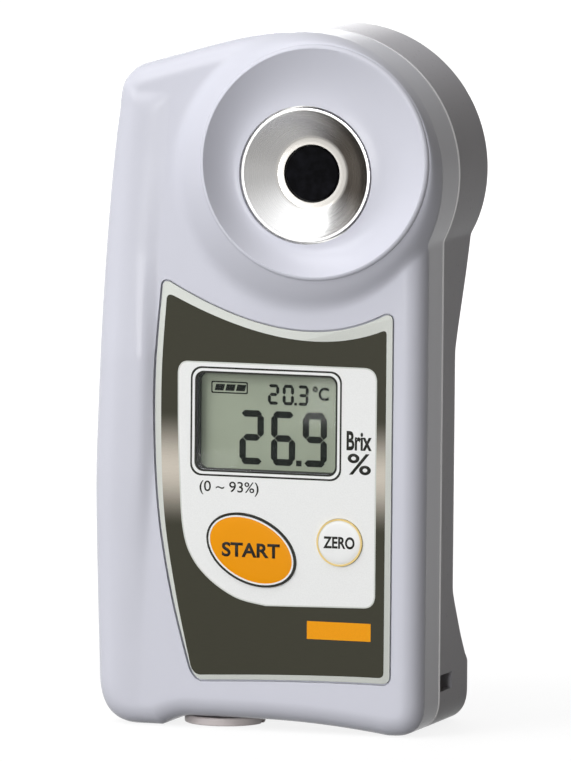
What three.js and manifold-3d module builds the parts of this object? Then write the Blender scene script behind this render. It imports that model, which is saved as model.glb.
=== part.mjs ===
// Pocket digital refractometer: a hand-held meter with a round sample well in its head, a display,
// two keys and a battery bay behind a lid that a coin lock holds.
// Millimetres. X runs to the right of someone facing the display, Y to the back, Z up.
// The origin is under the middle of the instrument, at the level of the feet that it stands on.
import * as THREE from "three";
import { mergeVertices } from "three/addons/utils/BufferGeometryUtils.js";
import Module from "manifold-3d";

const wasm = await Module();
wasm.setup();

// Driving dimensions
const width = 56.6; // left swell to the right side of the head
const depth = 31; // well rim to the rear humps
const height = 109.4; // feet to the top of the head
const wall = 1.8; // case wall
const fit = 0.3; // clearance between pieces that touch
const overrun = 1; // how far a cut runs past the face it opens
const roundSegments = 32; // sides of a round piece
const smallSegments = 12; // sides of a bore or a thin shank
const headSegments = 48; // sides of the head and the steel stage
const edgeSteps = 4; // flats in a rounded edge
const weld = 1e-4; // points closer than this are one point

// Sizes and places across the instrument, as shares of its width.
const widthShares = {
  headRadius: 0.39399, rimRadius: 0.32332, rimShiftX: 0.04947, rimShiftZ: 0.0424,
  stageShiftX: 0.0106, stageShiftZ: 0.00353,
  stageRadius: 0.18551, ringRadius: 0.09894, prismRadius: 0.07509, sideX: 0.45583, bayX: -0.17668,
  lipWidth: 0.22968, coinRadius: 0.11219, coinX: -0.159,
  windowWidth: 0.42403, windowX: 0.00707, startLong: 0.13604, startShort: 0.09187, startX: -0.0318,
  zeroRadius: 0.06537, zeroX: 0.22261, labelRight: 0.37456, labelDipX: 0.09717, screwInset: 0.09187,
  shoulderScrewX: -0.30919, crownScrewShiftX: 0.20318, crownScrewShiftZ: 0.23145,
  flangeRadius: 0.21025, opticsHalfX: 0.22085, opticsHalfZ: 0.16254, leadWidth: 0.14134,
  lensGap: 0.03534, lampLong: 0.05654, archFall: 0.38869,
};
// Sizes and places from front to back, as shares of its depth.
const depthShares = {
  cellRadius: 0.16935, lidWall: 0.05161, trayWall: 0.03226, boardThick: 0.03226,
  displayThick: 0.04839, displayGap: 0.0129, screwDepth: 0.17742,
  rimProud: 0.14194, rimFall: 0.08065, seamDepth: 0.33871, waistDepth: 0.64516, stageDepth: 0.12903, ringDepth: 0.10968,
  coinDepth: 0.30645, strapDeep: 0.19355, lightDepth: 0.14194, prismDeep: 0.19355, screwSunk: 0.10323,
};
// Sizes and places up the instrument, as shares of its height.
const heightShares = {
  cellLength: 0.3958, bayFloorZ: 0.08592, windowHeight: 0.14991, windowZ: 0.4415, startZ: 0.2596,
  zeroZ: 0.27605, footHumpZ: 0.07678, strapZ: 0.06764, footRoomZ: 0.06947,
  footRoomTopZ: 0.13711, footScrewZ: 0.2011, waistScrewZ: 0.58501, shoulderScrewZ: 0.85009,
  labelTop: 0.60512, labelBottom: 0.0713, labelDipZ: 0.53291,
};

// Depth planes
const rimProud = depthShares.rimProud * depth; // well rim in front of the label face
const labelY = -depth / 2 + rimProud; // front face of the case, where the label sits
const rearY = depth / 2; // back of the head hump and of the foot hump
const seamDepth = depthShares.seamDepth * depth; // label face to the parting line of the case
const seamY = labelY + seamDepth;
const waistDepth = depthShares.waistDepth * depth; // label face to the back of the waist
const waistY = labelY + waistDepth;

// Head
const headRadius = widthShares.headRadius * width;
const headX = width / 2 - headRadius;
const headZ = height - headRadius;
const rimRadius = widthShares.rimRadius * width; // crest of the well rim
const rimShiftX = widthShares.rimShiftX * width; // crest centre to the right of the head centre
const rimShiftZ = widthShares.rimShiftZ * width; // and above it
const rimCrest = 0.6; // roundness of the crest
const rimFall = depthShares.rimFall * depth; // how far the crest leans back at its upper right
const rimFallTurn = (40 * Math.PI) / 180; // where it leans back most, from the right upwards
const stageRadius = widthShares.stageRadius * width;
const stageDepth = depthShares.stageDepth * depth; // crest to the edge of the steel stage
const stageX = headX + widthShares.stageShiftX * width;
const stageZ = headZ + widthShares.stageShiftZ * width;
const stageEdgeY = -depth / 2 + stageDepth;
const ringRadius = widthShares.ringRadius * width; // flat round the prism
const ringDepth = depthShares.ringDepth * depth; // stage edge to that flat
const ringY = stageEdgeY + ringDepth;
const prismRadius = widthShares.prismRadius * width;

// Case outline, seen from the front
const sideX = widthShares.sideX * width; // right side below the head
const feetRise = 1.6; // arch between the feet
const footCorner = 5; // how far the curve of a foot reaches along each side
const footFlat = 1; // level part of the right foot
const archFall = widthShares.archFall * width; // run of the arch's long curve down to the right foot
const waistCorner = 7; // the same where the waist's wide edge round needs it
const frontRound = 3.4; // edge round of the front case
const rearRound = 1.4; // edge round of the humps
const waistRound = 3.2; // edge round of the waist
const ridgeProud = 1.5; // swell along the left edge, in front of the label face
const ridgeRound = 4; // how far in the swell rounds over

// Battery bay, cells side by side
const lidWall = depthShares.lidWall * depth;
const cellRadius = depthShares.cellRadius * depth;
const cellLength = heightShares.cellLength * height;
const cellNubRadius = 1.9;
const cellNub = 1.2;
const cellPitch = 2 * (cellRadius + fit);
const bayX = widthShares.bayX * width;
const bayFloorZ = heightShares.bayFloorZ * height;
const springLength = 2.6;
const cellZ = bayFloorZ + springLength + fit;
const trayWall = depthShares.trayWall * depth;
const trayHead = 1.2; // room left above the upper contacts
const trayWidth = 2 * cellRadius + cellPitch + 2 * fit + 2 * trayWall;
const trayTopZ = cellZ + cellLength + cellNub + 2 * fit + trayWall + trayHead;
const cellY = waistY - lidWall - fit - cellRadius;
const trayBackY = cellY - cellRadius - fit;

// Battery lid and its coin lock
const lidWidth = trayWidth + 4 * fit;
const lidOverlap = 2.2; // how far the lid reaches above the bay
const lidTopZ = trayTopZ + lidOverlap;
const lidCorner = 2;
const lipWidth = widthShares.lipWidth * width;
const coinRadius = widthShares.coinRadius * width;
const coinHead = 1.25;
const coinShank = 2;
const coinX = widthShares.coinX * width;
const coinDepth = depthShares.coinDepth * depth; // label face to the lock's axis
const coinY = labelY + coinDepth;
const coinSlot = 1.6;
const bushWall = 0.9;
const bossTopZ = bayFloorZ - bushWall;

// Label, display and keys
const labelThick = 0.5;
const labelSunk = 0.1; // label below the case face round it
const labelRecess = labelThick + fit + labelSunk;
const windowWidth = widthShares.windowWidth * width;
const windowHeight = heightShares.windowHeight * height;
const windowX = widthShares.windowX * width;
const windowZ = heightShares.windowZ * height;
const windowCorner = 1.6;
const windowLedge = 0.8; // rim of the case that the window rests on
const startLong = widthShares.startLong * width; // half axes of the tilted oval key
const startShort = widthShares.startShort * width;
const startTilt = (-25 * Math.PI) / 180;
const startX = widthShares.startX * width;
const startZ = heightShares.startZ * height;
const zeroRadius = widthShares.zeroRadius * width;
const zeroX = widthShares.zeroX * width;
const zeroZ = heightShares.zeroZ * height;
const keyTravel = 0.4;
const keyProud = 0.35;
const keyHoleGap = 0.6;
const keyFlange = 0.8; // thickness of the collar that holds a key in
const keyCollar = 1.2; // how far that collar stands out
const keyStemRadius = 1.3;
const domeRadius = 2.4;
const domeThick = 0.3;

// Finishes
const finish = (color, roughness, metalness) =>
  new THREE.MeshStandardMaterial({ color, roughness, metalness });
const shellGrey = finish(0xcfd1de, 0.28, 0);
const rearGrey = finish(0xc4c4cc, 0.32, 0);
const steel = finish(0xb9b6b0, 0.25, 1);
const brass = finish(0xb9975a, 0.35, 1);
const nickel = finish(0xc9c9c6, 0.3, 1);
const rubberBlack = finish(0x232323, 0.8, 0);
const moulded = finish(0x2d2d30, 0.6, 0);
const boardGreen = finish(0x1d5a3a, 0.5, 0);
const opticGlass = finish(0x0c0c10, 0.05, 0);
const clearGlass = finish(0xdfe6e2, 0.05, 0);
const displayGrey = finish(0x98a58c, 0.3, 0);
const labelOlive = finish(0x45412f, 0.4, 0.3);
const keyOrange = finish(0xf0a012, 0.45, 0);
const keyWhite = finish(0xe6e7e6, 0.45, 0);
const cellSkin = finish(0x3a6ea8, 0.35, 0.2);
const lockGrey = finish(0xb3a8a6, 0.45, 0);
const siliconBlack = finish(0x141416, 0.35, 0);
const lampAmber = finish(0xd98a1e, 0.2, 0);
const filmGold = finish(0xc07a2a, 0.4, 0);

// Helpers

// A closed three.js geometry as a solid that can be cut and joined.
function solid(geometry) {
  const bare = geometry.index ? geometry.clone() : geometry;
  bare.deleteAttribute("normal");
  bare.deleteAttribute("uv");
  const merged = mergeVertices(bare, weld);
  return new wasm.Manifold(
    new wasm.Mesh({
      numProp: 3,
      vertProperties: merged.attributes.position.array,
      triVerts: new Uint32Array(merged.index.array),
    }),
  );
}

// A solid as a named mesh in its own finish.
function piece(name, body, material) {
  const { vertProperties, triVerts } = body.getMesh();
  const geometry = new THREE.BufferGeometry()
    .setAttribute("position", new THREE.BufferAttribute(vertProperties, 3))
    .setIndex(new THREE.BufferAttribute(triVerts, 1));
  geometry.computeVertexNormals();
  const mesh = new THREE.Mesh(geometry, material);
  mesh.name = name;
  return mesh;
}

// A block between two corners.
function block(x0, x1, y0, y1, z0, z1) {
  const box = new THREE.BoxGeometry(x1 - x0, y1 - y0, z1 - z0);
  return solid(box.translate((x0 + x1) / 2, (y0 + y1) / 2, (z0 + z1) / 2));
}

// A straight round bar along Y, from y0 to y1.
function barY(x, z, radius, y0, y1, sides = roundSegments, endRadius = radius) {
  const bar = new THREE.CylinderGeometry(endRadius, radius, y1 - y0, sides);
  return solid(bar.translate(0, (y0 + y1) / 2, 0).translate(x, 0, z));
}

// A straight round bar along Z, from z0 to z1.
function barZ(x, y, radius, z0, z1, sides = roundSegments, endRadius = radius) {
  const bar = new THREE.CylinderGeometry(endRadius, radius, z1 - z0, sides);
  return solid(bar.rotateX(Math.PI / 2).translate(x, y, (z0 + z1) / 2));
}

// A straight round bar along X, from x0 to x1.
function barX(y, z, radius, x0, x1, sides = roundSegments) {
  const bar = new THREE.CylinderGeometry(radius, radius, x1 - x0, sides);
  return solid(bar.rotateZ(Math.PI / 2).translate((x0 + x1) / 2, y, z));
}

// The points of a closed outline moved inwards by an amount; outlines run anticlockwise from the front.
const sharpestShare = 0.5; // keeps a sharp corner's inset point near its corner
function inset(outline, amount) {
  const count = outline.length;
  return outline.map((point, i) => {
    const before = outline[(i + count - 1) % count];
    const after = outline[(i + 1) % count];
    const u = point.clone().sub(before).normalize();
    const v = after.clone().sub(point).normalize();
    const inward = new THREE.Vector2(-u.y - v.y, u.x + v.x).normalize();
    const reach = amount / Math.max(inward.dot(new THREE.Vector2(-v.y, v.x)), sharpestShare);
    return point.clone().addScaledVector(inward, reach);
  });
}

// Rings of points joined into one closed body, capped at the first and last ring.
// Each ring is a list of Vector3; the first ring's points run anticlockwise seen from outside its cap.
// Both caps are cut into triangles as the flat outline is.
function loft(rings, outline = rings[0].map((p) => new THREE.Vector2(p.x, p.z))) {
  const count = rings[0].length;
  const position = rings.flat().flatMap((p) => [p.x, p.y, p.z]);
  const index = [];
  for (let r = 0; r + 1 < rings.length; r++)
    for (let i = 0; i < count; i++) {
      const a = r * count + i;
      const b = r * count + ((i + 1) % count);
      index.push(a, b + count, b, a, a + count, b + count);
    }
  const cap = THREE.ShapeUtils.triangulateShape(outline.map((p) => p.clone()), []);
  const top = (rings.length - 1) * count;
  for (const [a, b, c] of cap) index.push(a, b, c, top + a, top + c, top + b);
  const geometry = new THREE.BufferGeometry();
  geometry.setAttribute("position", new THREE.Float32BufferAttribute(position, 3));
  geometry.setIndex(index);
  return solid(geometry);
}

// An outline in the XZ plane drawn along Y through levels of { y, by }, each inset by its own amount.
function slab(outline, levels) {
  return loft(
    levels.map(({ y, by }) => inset(outline, by).map((p) => new THREE.Vector3(p.x, y, p.y))),
    outline,
  );
}

// A flat plate between two depths.
const plate = (outline, y0, y1, by = 0) => slab(outline, [{ y: y0, by }, { y: y1, by }]);

// Levels that round a front or a rear edge, from the face to the full outline.
function roundLevels(faceY, radius, inwards, by = 0, steps = edgeSteps) {
  const levels = [];
  for (let i = 0; i <= steps; i++) {
    const turn = ((i / steps) * Math.PI) / 2;
    levels.push({
      y: faceY + inwards * radius * (1 - Math.cos(turn)),
      by: by + radius * (1 - Math.sin(turn)),
    });
  }
  return levels;
}

// An outline in the YZ plane drawn along X.
function prismX(points, x0, x1) {
  const shape = new THREE.Shape(points.map(([y, z]) => new THREE.Vector2(y, z)));
  const bar = new THREE.ExtrudeGeometry(shape, { depth: x1 - x0, bevelEnabled: false });
  bar.applyMatrix4(new THREE.Matrix4().makeBasis(
    new THREE.Vector3(0, 1, 0),
    new THREE.Vector3(0, 0, 1),
    new THREE.Vector3(1, 0, 0),
  ));
  return solid(bar.translate(x0, 0, 0));
}

// Points of a shape, one step per small angle or curve piece, closing point left out.
function points(shape, divisions) {
  const list = shape.getPoints(divisions);
  if (list[0].distanceTo(list.at(-1)) < 10 * weld) list.pop();
  return THREE.ShapeUtils.isClockWise(list) ? list.reverse() : list;
}

// A rectangle with round corners, centred on a place.
function roundedBox(x, z, w, h, r) {
  const s = new THREE.Shape();
  s.moveTo(x + w / 2, z - h / 2 + r).lineTo(x + w / 2, z + h / 2 - r);
  s.absarc(x + w / 2 - r, z + h / 2 - r, r, 0, Math.PI / 2);
  s.absarc(x - w / 2 + r, z + h / 2 - r, r, Math.PI / 2, Math.PI);
  s.absarc(x - w / 2 + r, z - h / 2 + r, r, Math.PI, -Math.PI / 2);
  s.absarc(x + w / 2 - r, z - h / 2 + r, r, -Math.PI / 2, 0);
  return points(s, edgeSteps);
}

// An oval, turned by an angle, as a closed outline.
function oval(x, z, a, b, turn = 0, sides = roundSegments) {
  const curve = new THREE.EllipseCurve(x, z, a, b, 0, 2 * Math.PI, false, turn);
  return curve.getPoints(sides).slice(0, -1);
}

// A profile of [radius, y] pairs spun round a line along Y.
function spinY(x, z, profile, sides = roundSegments) {
  const lathe = new THREE.LatheGeometry(
    profile.map(([r, y]) => new THREE.Vector2(r, y)),
    sides,
  );
  return solid(lathe.translate(x, 0, z));
}

// Outlines seen from the front, as shares of the half width and of the height

// Left edge from the shoulder down to the foot.
const leftEdgeShares = [
  [-0.874, 0.888],
  [-0.902, 0.83],
  [-0.936, 0.73],
  [-0.968, 0.6],
  [-0.988, 0.47],
  [-0.998, 0.35],
  [-0.99, 0.22],
  [-0.972, 0.075],
];
const shoulderShare = [-0.72, 0.949]; // where the sloping top begins, beside the left corner
const ridgeShares = { top: 0.925, bottom: 0.05, innerTop: -0.55, innerBottom: -0.655 }; // left swell
const place = ([x, z]) => new THREE.Vector2((x * width) / 2, z * height);

// The case without its round head.
const crownTurn = (99 * Math.PI) / 180; // where the sloping top runs into the head
const crownPullShare = 0.2; // how the head's circle flattens into the slope
const shoulderDrop = 1.2; // roundness of the left shoulder
const footReachShare = 1.3; // the left foot's curve reaches further along the floor
function caseOutline(corner) {
  const s = new THREE.Shape();
  const crown = new THREE.Vector2(
    headX + headRadius * Math.cos(crownTurn),
    headZ + headRadius * Math.sin(crownTurn),
  );
  const [top, foot] = [leftEdgeShares[0], leftEdgeShares.at(-1)].map(place);
  const shoulder = place(shoulderShare);
  const pull = new THREE.Vector2(crown.x - headRadius * crownPullShare, crown.y);
  s.moveTo(sideX, corner);
  s.lineTo(sideX, headZ);
  s.lineTo(headX, headZ + headRadius / 2);
  s.lineTo(crown.x, crown.y);
  s.quadraticCurveTo(
    pull.x,
    pull.y,
    (pull.x + shoulder.x) / 2,
    (pull.y + shoulder.y) / 2,
  );
  s.lineTo(shoulder.x, shoulder.y);
  s.quadraticCurveTo(top.x, shoulder.y - shoulderDrop, top.x, top.y);
  s.splineThru(leftEdgeShares.slice(1).map(place));
  s.quadraticCurveTo(foot.x, 0, foot.x + corner * footReachShare, 0);
  s.lineTo(sideX - corner, 0);
  s.quadraticCurveTo(sideX, 0, sideX, corner);
  return points(s, edgeSteps);
}

// The swell along the left edge.
function ridgeOutline() {
  const s = new THREE.Shape();
  const innerTop = (ridgeShares.innerTop * width) / 2;
  const innerBottom = (ridgeShares.innerBottom * width) / 2;
  const top = ridgeShares.top * height;
  const bottom = ridgeShares.bottom * height;
  const edge = leftEdgeShares.map(place);
  const [first, last] = [edge[0], edge.at(-1)];
  s.moveTo(innerBottom, bottom + ridgeRound);
  s.lineTo(innerTop, top - ridgeRound);
  s.quadraticCurveTo(innerTop, top, (innerTop + first.x) / 2, top);
  s.quadraticCurveTo(first.x, top, first.x, first.y - fit);
  s.splineThru(edge.slice(1));
  s.quadraticCurveTo(last.x, bottom, (last.x + innerBottom) / 2, bottom);
  s.quadraticCurveTo(innerBottom, bottom, innerBottom, bottom + ridgeRound);
  return points(s, edgeSteps - 1);
}

const caseShape = caseOutline(footCorner);
const waistShape = caseOutline(waistCorner);
const headShape = oval(headX, headZ, headRadius, headRadius, 0, headSegments);
const floorZ = feetRise + wall;

// Both halves of the case as one solid outer form.
function outerFront() {
  const body = slab(caseShape, [...roundLevels(labelY, frontRound, 1), { y: seamY, by: 0 }]);
  const swell = roundLevels(0, 1, 1).map(({ y, by }) => ({
    y: labelY - ridgeProud + y * (frontRound + ridgeProud),
    by: by * ridgeRound,
  }));
  const ridge = slab(ridgeOutline(), swell);
  const drum = plate(headShape, labelY + wall, seamY);
  return body.add(ridge).add(drum).add(boss());
}

// A circle between the rim's (share 0) and another centre's (share 1), part of the way back.
// Towards the rim it leans back with the crest.
function headRing(y, radius, share, endX = headX, endZ = headZ) {
  const x = endX + (headX + rimShiftX - endX) * (1 - share);
  const z = endZ + (headZ + rimShiftZ - endZ) * (1 - share);
  const lean = (p) => {
    const along = (p.x - x) * Math.cos(rimFallTurn) + (p.y - z) * Math.sin(rimFallTurn);
    return (rimFall * (1 - share) * (1 + along / (rimRadius - rimCrest))) / 2;
  };
  return oval(x, z, radius, radius, 0, headSegments)
    .map((p) => new THREE.Vector3(p.x, y + lean(p), p.y));
}

// The raised round boss that carries the well.
function boss() {
  const crest = roundLevels(-depth / 2, rimCrest, 1).map(({ y, by }) =>
    headRing(y, rimRadius - by, 0),
  );
  const baseY = labelY + wall;
  return loft([...crest, headRing(baseY, headRadius, 1)]);
}

// The dish of the well, from the crest down to the steel stage.
const dishSteps = 5;
function dish() {
  const rings = [headRing(-depth / 2 - overrun, rimRadius + rimCrest - overrun, 0)];
  const ring = (y, radius, share) => headRing(y, radius, share, stageX, stageZ);
  for (let i = 0; i <= dishSteps; i++) {
    const share = i / dishSteps;
    const radius = rimRadius - rimCrest + (stageRadius + fit - rimRadius + rimCrest) * share;
    rings.push(ring(-depth / 2 + stageDepth * Math.sin((share * Math.PI) / 2), radius, share));
  }
  rings.push(ring(labelY + wall + overrun, stageRadius + fit, 1));
  return loft(rings);
}

// Slopes of the rear, as shares of the depth behind the label face and of a height:
// the head's middle for the upper ones, the whole instrument's for the lower ones.
const headSlopeShares = [
  [0.461, 0.597],
  [0.6, 0.718],
  [0.729, 0.815],
  [0.8, 0.877],
  [0.826, 0.914],
  [0.839, 0.942],
];
const footSlopeShares = [
  [0.79, 0.093],
  [0.697, 0.128],
  [0.587, 0.178],
  [0.461, 0.247],
];
const onHead = ([behind, z]) => [labelY + behind * depth, z * headZ];
const onSide = ([behind, z]) => [labelY + behind * depth, z * height];
const headHumpShare = 0.9644;
const headHumpZ = headHumpShare * headZ; // where the head hump reaches its full depth
const footHumpZ = heightShares.footHumpZ * height; // the same for the foot hump
const pastRear = rearY + overrun;
const headSlope = headSlopeShares.map(onHead);
const headHump = [
  [seamY, headSlope[0][1]],
  ...headSlope,
  [pastRear, headHumpZ],
  [pastRear, height + overrun],
  [seamY, height + overrun],
];
const footSlope = footSlopeShares.map(onSide);
const footHump = [
  [seamY, -overrun],
  [pastRear, -overrun],
  [pastRear, footHumpZ],
  ...footSlope,
  [seamY, footSlope.at(-1)[1]],
];

// A rear form of case and head with its edge rounded.
function rearForm(shape, faceY, radius, by = 0) {
  const levels = [{ y: seamY, by }, ...roundLevels(faceY, radius, -1, by).reverse()];
  return slab(shape, levels).add(slab(headShape, levels));
}

function outerRear() {
  const humps = prismX(headHump, -width, width).add(prismX(footHump, -width, width));
  const full = rearForm(caseShape, rearY, rearRound);
  return rearForm(waistShape, waistY, waistRound).add(full.intersect(humps));
}

// The arch between the feet, right through from front to back.
const leftFootFlat = 4.8; // level part of the left foot
function arch() {
  const s = new THREE.Shape();
  const left = -width / 2 + footReachShare * footCorner + leftFootFlat;
  const right = sideX - footCorner - footFlat;
  s.moveTo(left, -overrun).lineTo(right, -overrun).lineTo(right, 0);
  s.quadraticCurveTo(right - archFall / 2, feetRise, right - archFall, feetRise);
  s.lineTo(left + footCorner, feetRise);
  s.quadraticCurveTo(left + footCorner / 2, feetRise, left, 0);
  return plate(points(s, edgeSteps), -depth, depth);
}

// The round well in the arch that the coin lock's head sits in.
const coinWell = () => barZ(coinX, coinY, coinRadius + fit, -overrun, feetRise);

// Strap hole through the right foot.
const strapZ = heightShares.strapZ * height;
const strapTall = 2.6;
const strapDeep = depthShares.strapDeep * depth;
const strapGap = 0.6; // case left between the joint and the hole
const strapPost = 3.4; // how far in the hole runs
const strapY = seamY + strapGap + strapDeep / 2;
function strapHole() {
  const side = roundedBox(strapY, strapZ, strapDeep, strapTall, fit).map((p) => [p.x, p.y]);
  return prismX(side, sideX - wall - strapPost, sideX + overrun);
}

// Hollows

// The inside of the case, one wall in from the outer form.
function frontHollow() {
  const body = plate(caseShape, labelY + wall, seamY + overrun, wall);
  const head = plate(headShape, labelY + wall, seamY + overrun, wall);
  return body.add(head).subtract(block(-width, width, -depth, depth, -overrun, floorZ));
}

const footRoomZ = heightShares.footRoomZ * height; // where the room in the foot hump starts to slope
const footRoomTopZ = heightShares.footRoomTopZ * height;
function rearHollow() {
  const waist = plate(waistShape, seamY - overrun, waistY - wall, wall + waistRound / 4);
  const head = plate(headShape, labelY + wall, rearY - wall, wall + rearRound / 3);
  const footRoom = [
    [seamY - overrun, floorZ],
    [rearY - wall, floorZ],
    [rearY - wall, footRoomZ],
    [waistY - wall, footRoomTopZ],
    [seamY - overrun, footRoomTopZ],
  ];
  const foot = prismX(footRoom, -width / 2 + footCorner, sideX - footCorner);
  const above = block(-width, width, -depth, depth, floorZ, height);
  const inHump = block(-width, width, seamY - overrun, depth, headZ - 2 * wall, height);
  return waist.intersect(above).add(head.intersect(inHump)).add(foot);
}

// The lid's field in the back of the case, seen from the front.
const lidX = bayX;
const lidField = (by = 0) =>
  roundedBox(
    lidX,
    (lidTopZ - overrun * 4) / 2,
    lidWidth - 2 * by,
    lidTopZ + overrun * 4 - 2 * by,
    lidCorner,
  );
const lipShare = 0.7; // how far the lid's lip reaches over the coin lock's head
const lipY = coinY - coinRadius * lipShare;

// The bar under the floor that ties the lid to the coin lock.
const lidLip = (by) =>
  block(
    coinX - lipWidth / 2 + by,
    coinX + lipWidth / 2 - by,
    lipY + by,
    waistY,
    feetRise - overrun,
    floorZ - Math.max(by, 0),
  );
const lidFloorY = waistY - lidWall - overrun; // where the lid takes over the floor of the foot

// What the lid leaves open in the case, a clearance larger on each side.
function lidCut() {
  const field = plate(lidField(-fit), seamY, rearY + overrun);
  const upper = block(-width, width, seamY, depth, floorZ, height);
  const floor = block(-width, width, lidFloorY - fit, depth, -overrun, floorZ + overrun);
  return field.intersect(upper.add(floor)).add(lidLip(-fit));
}

// Inside face of the lid above the floor, in the same shares as the slopes of the rear.
const lidSlopeShares = [
  [0.781, 0.068],
  [0.732, 0.088],
  [0.652, 0.121],
  [0.594, 0.165],
];
const lidInside = [
  [seamY, floorZ],
  [rearY - lidWall, floorZ],
  ...lidSlopeShares.map(onSide),
  [waistY - lidWall, height],
  [seamY, height],
];

function batteryLid() {
  const field = plate(lidField(0), lidFloorY, rearY + overrun);
  const sheet = outerRear().intersect(field).subtract(prismX(lidInside, -width, width));
  const below = block(-width, width, -depth, depth, -overrun, feetRise);
  const notch = block(
    coinX - coinShank - fit,
    coinX + coinShank + fit,
    -depth,
    coinY,
    -overrun,
    floorZ + overrun,
  );
  const round = barZ(coinX, coinY, coinShank + fit, -overrun, floorZ + overrun);
  const lip = lidLip(0).subtract(below).subtract(notch).subtract(round);
  return sheet.add(lip).subtract(arch()).subtract(coinWell());
}

// Groove and cord of the seal between the case halves; the lid's lip interrupts both.
const sealRadius = 0.45;
const sealDepth = wall / 2;
function sealRing(by) {
  const half = sealRadius + by;
  const loop = (inner) => {
    const [y0, y1] = [seamY - half, seamY + half];
    const above = block(-width, width, y0, y1, feetRise + inner, height);
    return plate(caseShape, y0, y1, inner).add(plate(headShape, y0, y1, inner)).intersect(above);
  };
  return loop(sealDepth - half).subtract(loop(sealDepth + half));
}

// Fasteners: screws go in from the back, through the rear case, into posts of the front case
const screwRadius = 1;
const screwHeadRadius = 1.9;
const screwHeadTall = 1.4;
const postRadius = 2.6;
const screwInset = widthShares.screwInset * width;
const screwSunk = depthShares.screwSunk * depth; // back of the waist to the screw heads' seats
const screwSeatY = waistY - screwSunk;
const footScrewZ = heightShares.footScrewZ * height;
const waistScrewZ = heightShares.waistScrewZ * height;
const shoulderScrewX = widthShares.shoulderScrewX * width;
const shoulderScrewZ = heightShares.shoulderScrewZ * height;
const crownScrewShiftX = widthShares.crownScrewShiftX * width;
const crownScrewShiftZ = widthShares.crownScrewShiftZ * width;
const casePosts = [
  { name: "case_screw_foot", x: sideX - screwInset, z: footScrewZ },
  { name: "case_screw_waist", x: sideX - screwInset, z: waistScrewZ },
  { name: "case_screw_shoulder", x: shoulderScrewX, z: shoulderScrewZ },
  { name: "case_screw_crown", x: headX + crownScrewShiftX, z: headZ + crownScrewShiftZ },
];
const screwDepth = depthShares.screwDepth * depth; // thread in the front post

function frontCase() {
  let body = outerFront().subtract(frontHollow());
  body = body.subtract(dish()).subtract(arch()).subtract(coinWell());
  for (const { x, z } of casePosts) {
    body = body.add(barY(x, z, postRadius, labelY + wall / 2, seamY));
    const bore = barY(x, z, screwRadius + fit, labelY + wall * 2, seamY + overrun, smallSegments);
    body = body.subtract(bore);
  }
  for (const { x, z } of opticsScrews)
    body = body.subtract(barY(x, z, screwRadius + fit, labelY - fit, seamY, smallSegments));
  body = body.subtract(plate(labelOutline(), -depth, labelY + labelRecess, -fit));
  const seeThrough = windowShape(windowLedge);
  body = body.subtract(plate(seeThrough, labelY - overrun, labelY + wall + overrun));
  for (const key of keys)
    body = body.subtract(plate(key.shape(keyHoleGap), labelY - overrun, labelY + wall + overrun));
  body = body.subtract(sealRing(fit / 2));
  return body.subtract(block(-width, width, seamY - fit / 2, depth, -overrun, height + overrun))
    .subtract(lidCut());
}

function rearCase() {
  let body = outerRear().subtract(rearHollow());
  for (const { x, z } of casePosts) {
    body = body.add(barY(x, z, postRadius, seamY, waistY - wall / 2));
    body = body.subtract(barY(x, z, screwHeadRadius + fit, screwSeatY, depth, smallSegments));
    body = body.subtract(barY(x, z, screwRadius + fit, seamY - overrun, waistY, smallSegments));
  }
  body = body.subtract(arch()).subtract(coinWell()).subtract(lidCut()).subtract(strapHole());
  body = body.subtract(sealRing(fit / 2));
  return body.subtract(block(-width, width, -depth, seamY + fit / 2, -overrun, height + overrun));
}

// Label and keys

const labelRight = widthShares.labelRight * width;
const labelTop = heightShares.labelTop * height;
const labelBottom = heightShares.labelBottom * height;
const labelCorner = 1.2;
const labelDipX = widthShares.labelDipX * width; // the label's top edge dips below the round head
const labelDipZ = heightShares.labelDipZ * height;
const labelFoot = 2.4; // roundness of its lower left corner
// Left edge of the label, as shares of its right edge's and its top's distances from the origin.
const labelLeftShares = [
  [-0.797, 1.042],
  [-0.844, 0.846],
  [-0.84, 0.65],
  [-0.797, 0.483],
  [-0.698, 0.31],
  [-0.571, 0.159],
];
function labelOutline() {
  const s = new THREE.Shape();
  const left = labelLeftShares.map(([x, z]) => new THREE.Vector2(x * labelRight, z * labelTop));
  const [first, last] = [left[0], left.at(-1)];
  s.moveTo(labelRight, labelBottom + labelCorner);
  s.lineTo(labelRight, labelTop - labelCorner);
  s.quadraticCurveTo(labelRight, labelTop, labelRight - labelCorner, labelTop - fit);
  s.quadraticCurveTo(labelDipX, labelDipZ, first.x + labelCorner, first.y + 3 * fit);
  s.quadraticCurveTo(first.x, first.y + labelCorner, first.x, first.y);
  s.splineThru(left.slice(1));
  s.quadraticCurveTo(last.x + labelFoot / 3, labelBottom, last.x + labelFoot, labelBottom);
  s.lineTo(labelRight - labelCorner, labelBottom);
  s.quadraticCurveTo(labelRight, labelBottom, labelRight, labelBottom + labelCorner);
  return points(s, edgeSteps + 2);
}

const keys = [
  {
    name: "start_key",
    x: startX,
    z: startZ,
    material: keyOrange,
    shape: (by) => oval(startX, startZ, startLong + by, startShort + by, startTilt),
  },
  {
    name: "zero_key",
    x: zeroX,
    z: zeroZ,
    material: keyWhite,
    shape: (by) => oval(zeroX, zeroZ, zeroRadius + by, zeroRadius + by),
  },
];

const windowShape = (by) =>
  roundedBox(windowX, windowZ, windowWidth - 2 * by, windowHeight - 2 * by, windowCorner - by / 2);
const labelFrontY = labelY + labelRecess - fit - labelThick;

function keypadLabel() {
  let sheet = plate(labelOutline(), labelFrontY, labelFrontY + labelThick);
  sheet = sheet.subtract(plate(windowShape(-fit), -depth, depth));
  for (const key of keys) sheet = sheet.subtract(plate(key.shape(fit), -depth, depth));
  return sheet;
}

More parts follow.
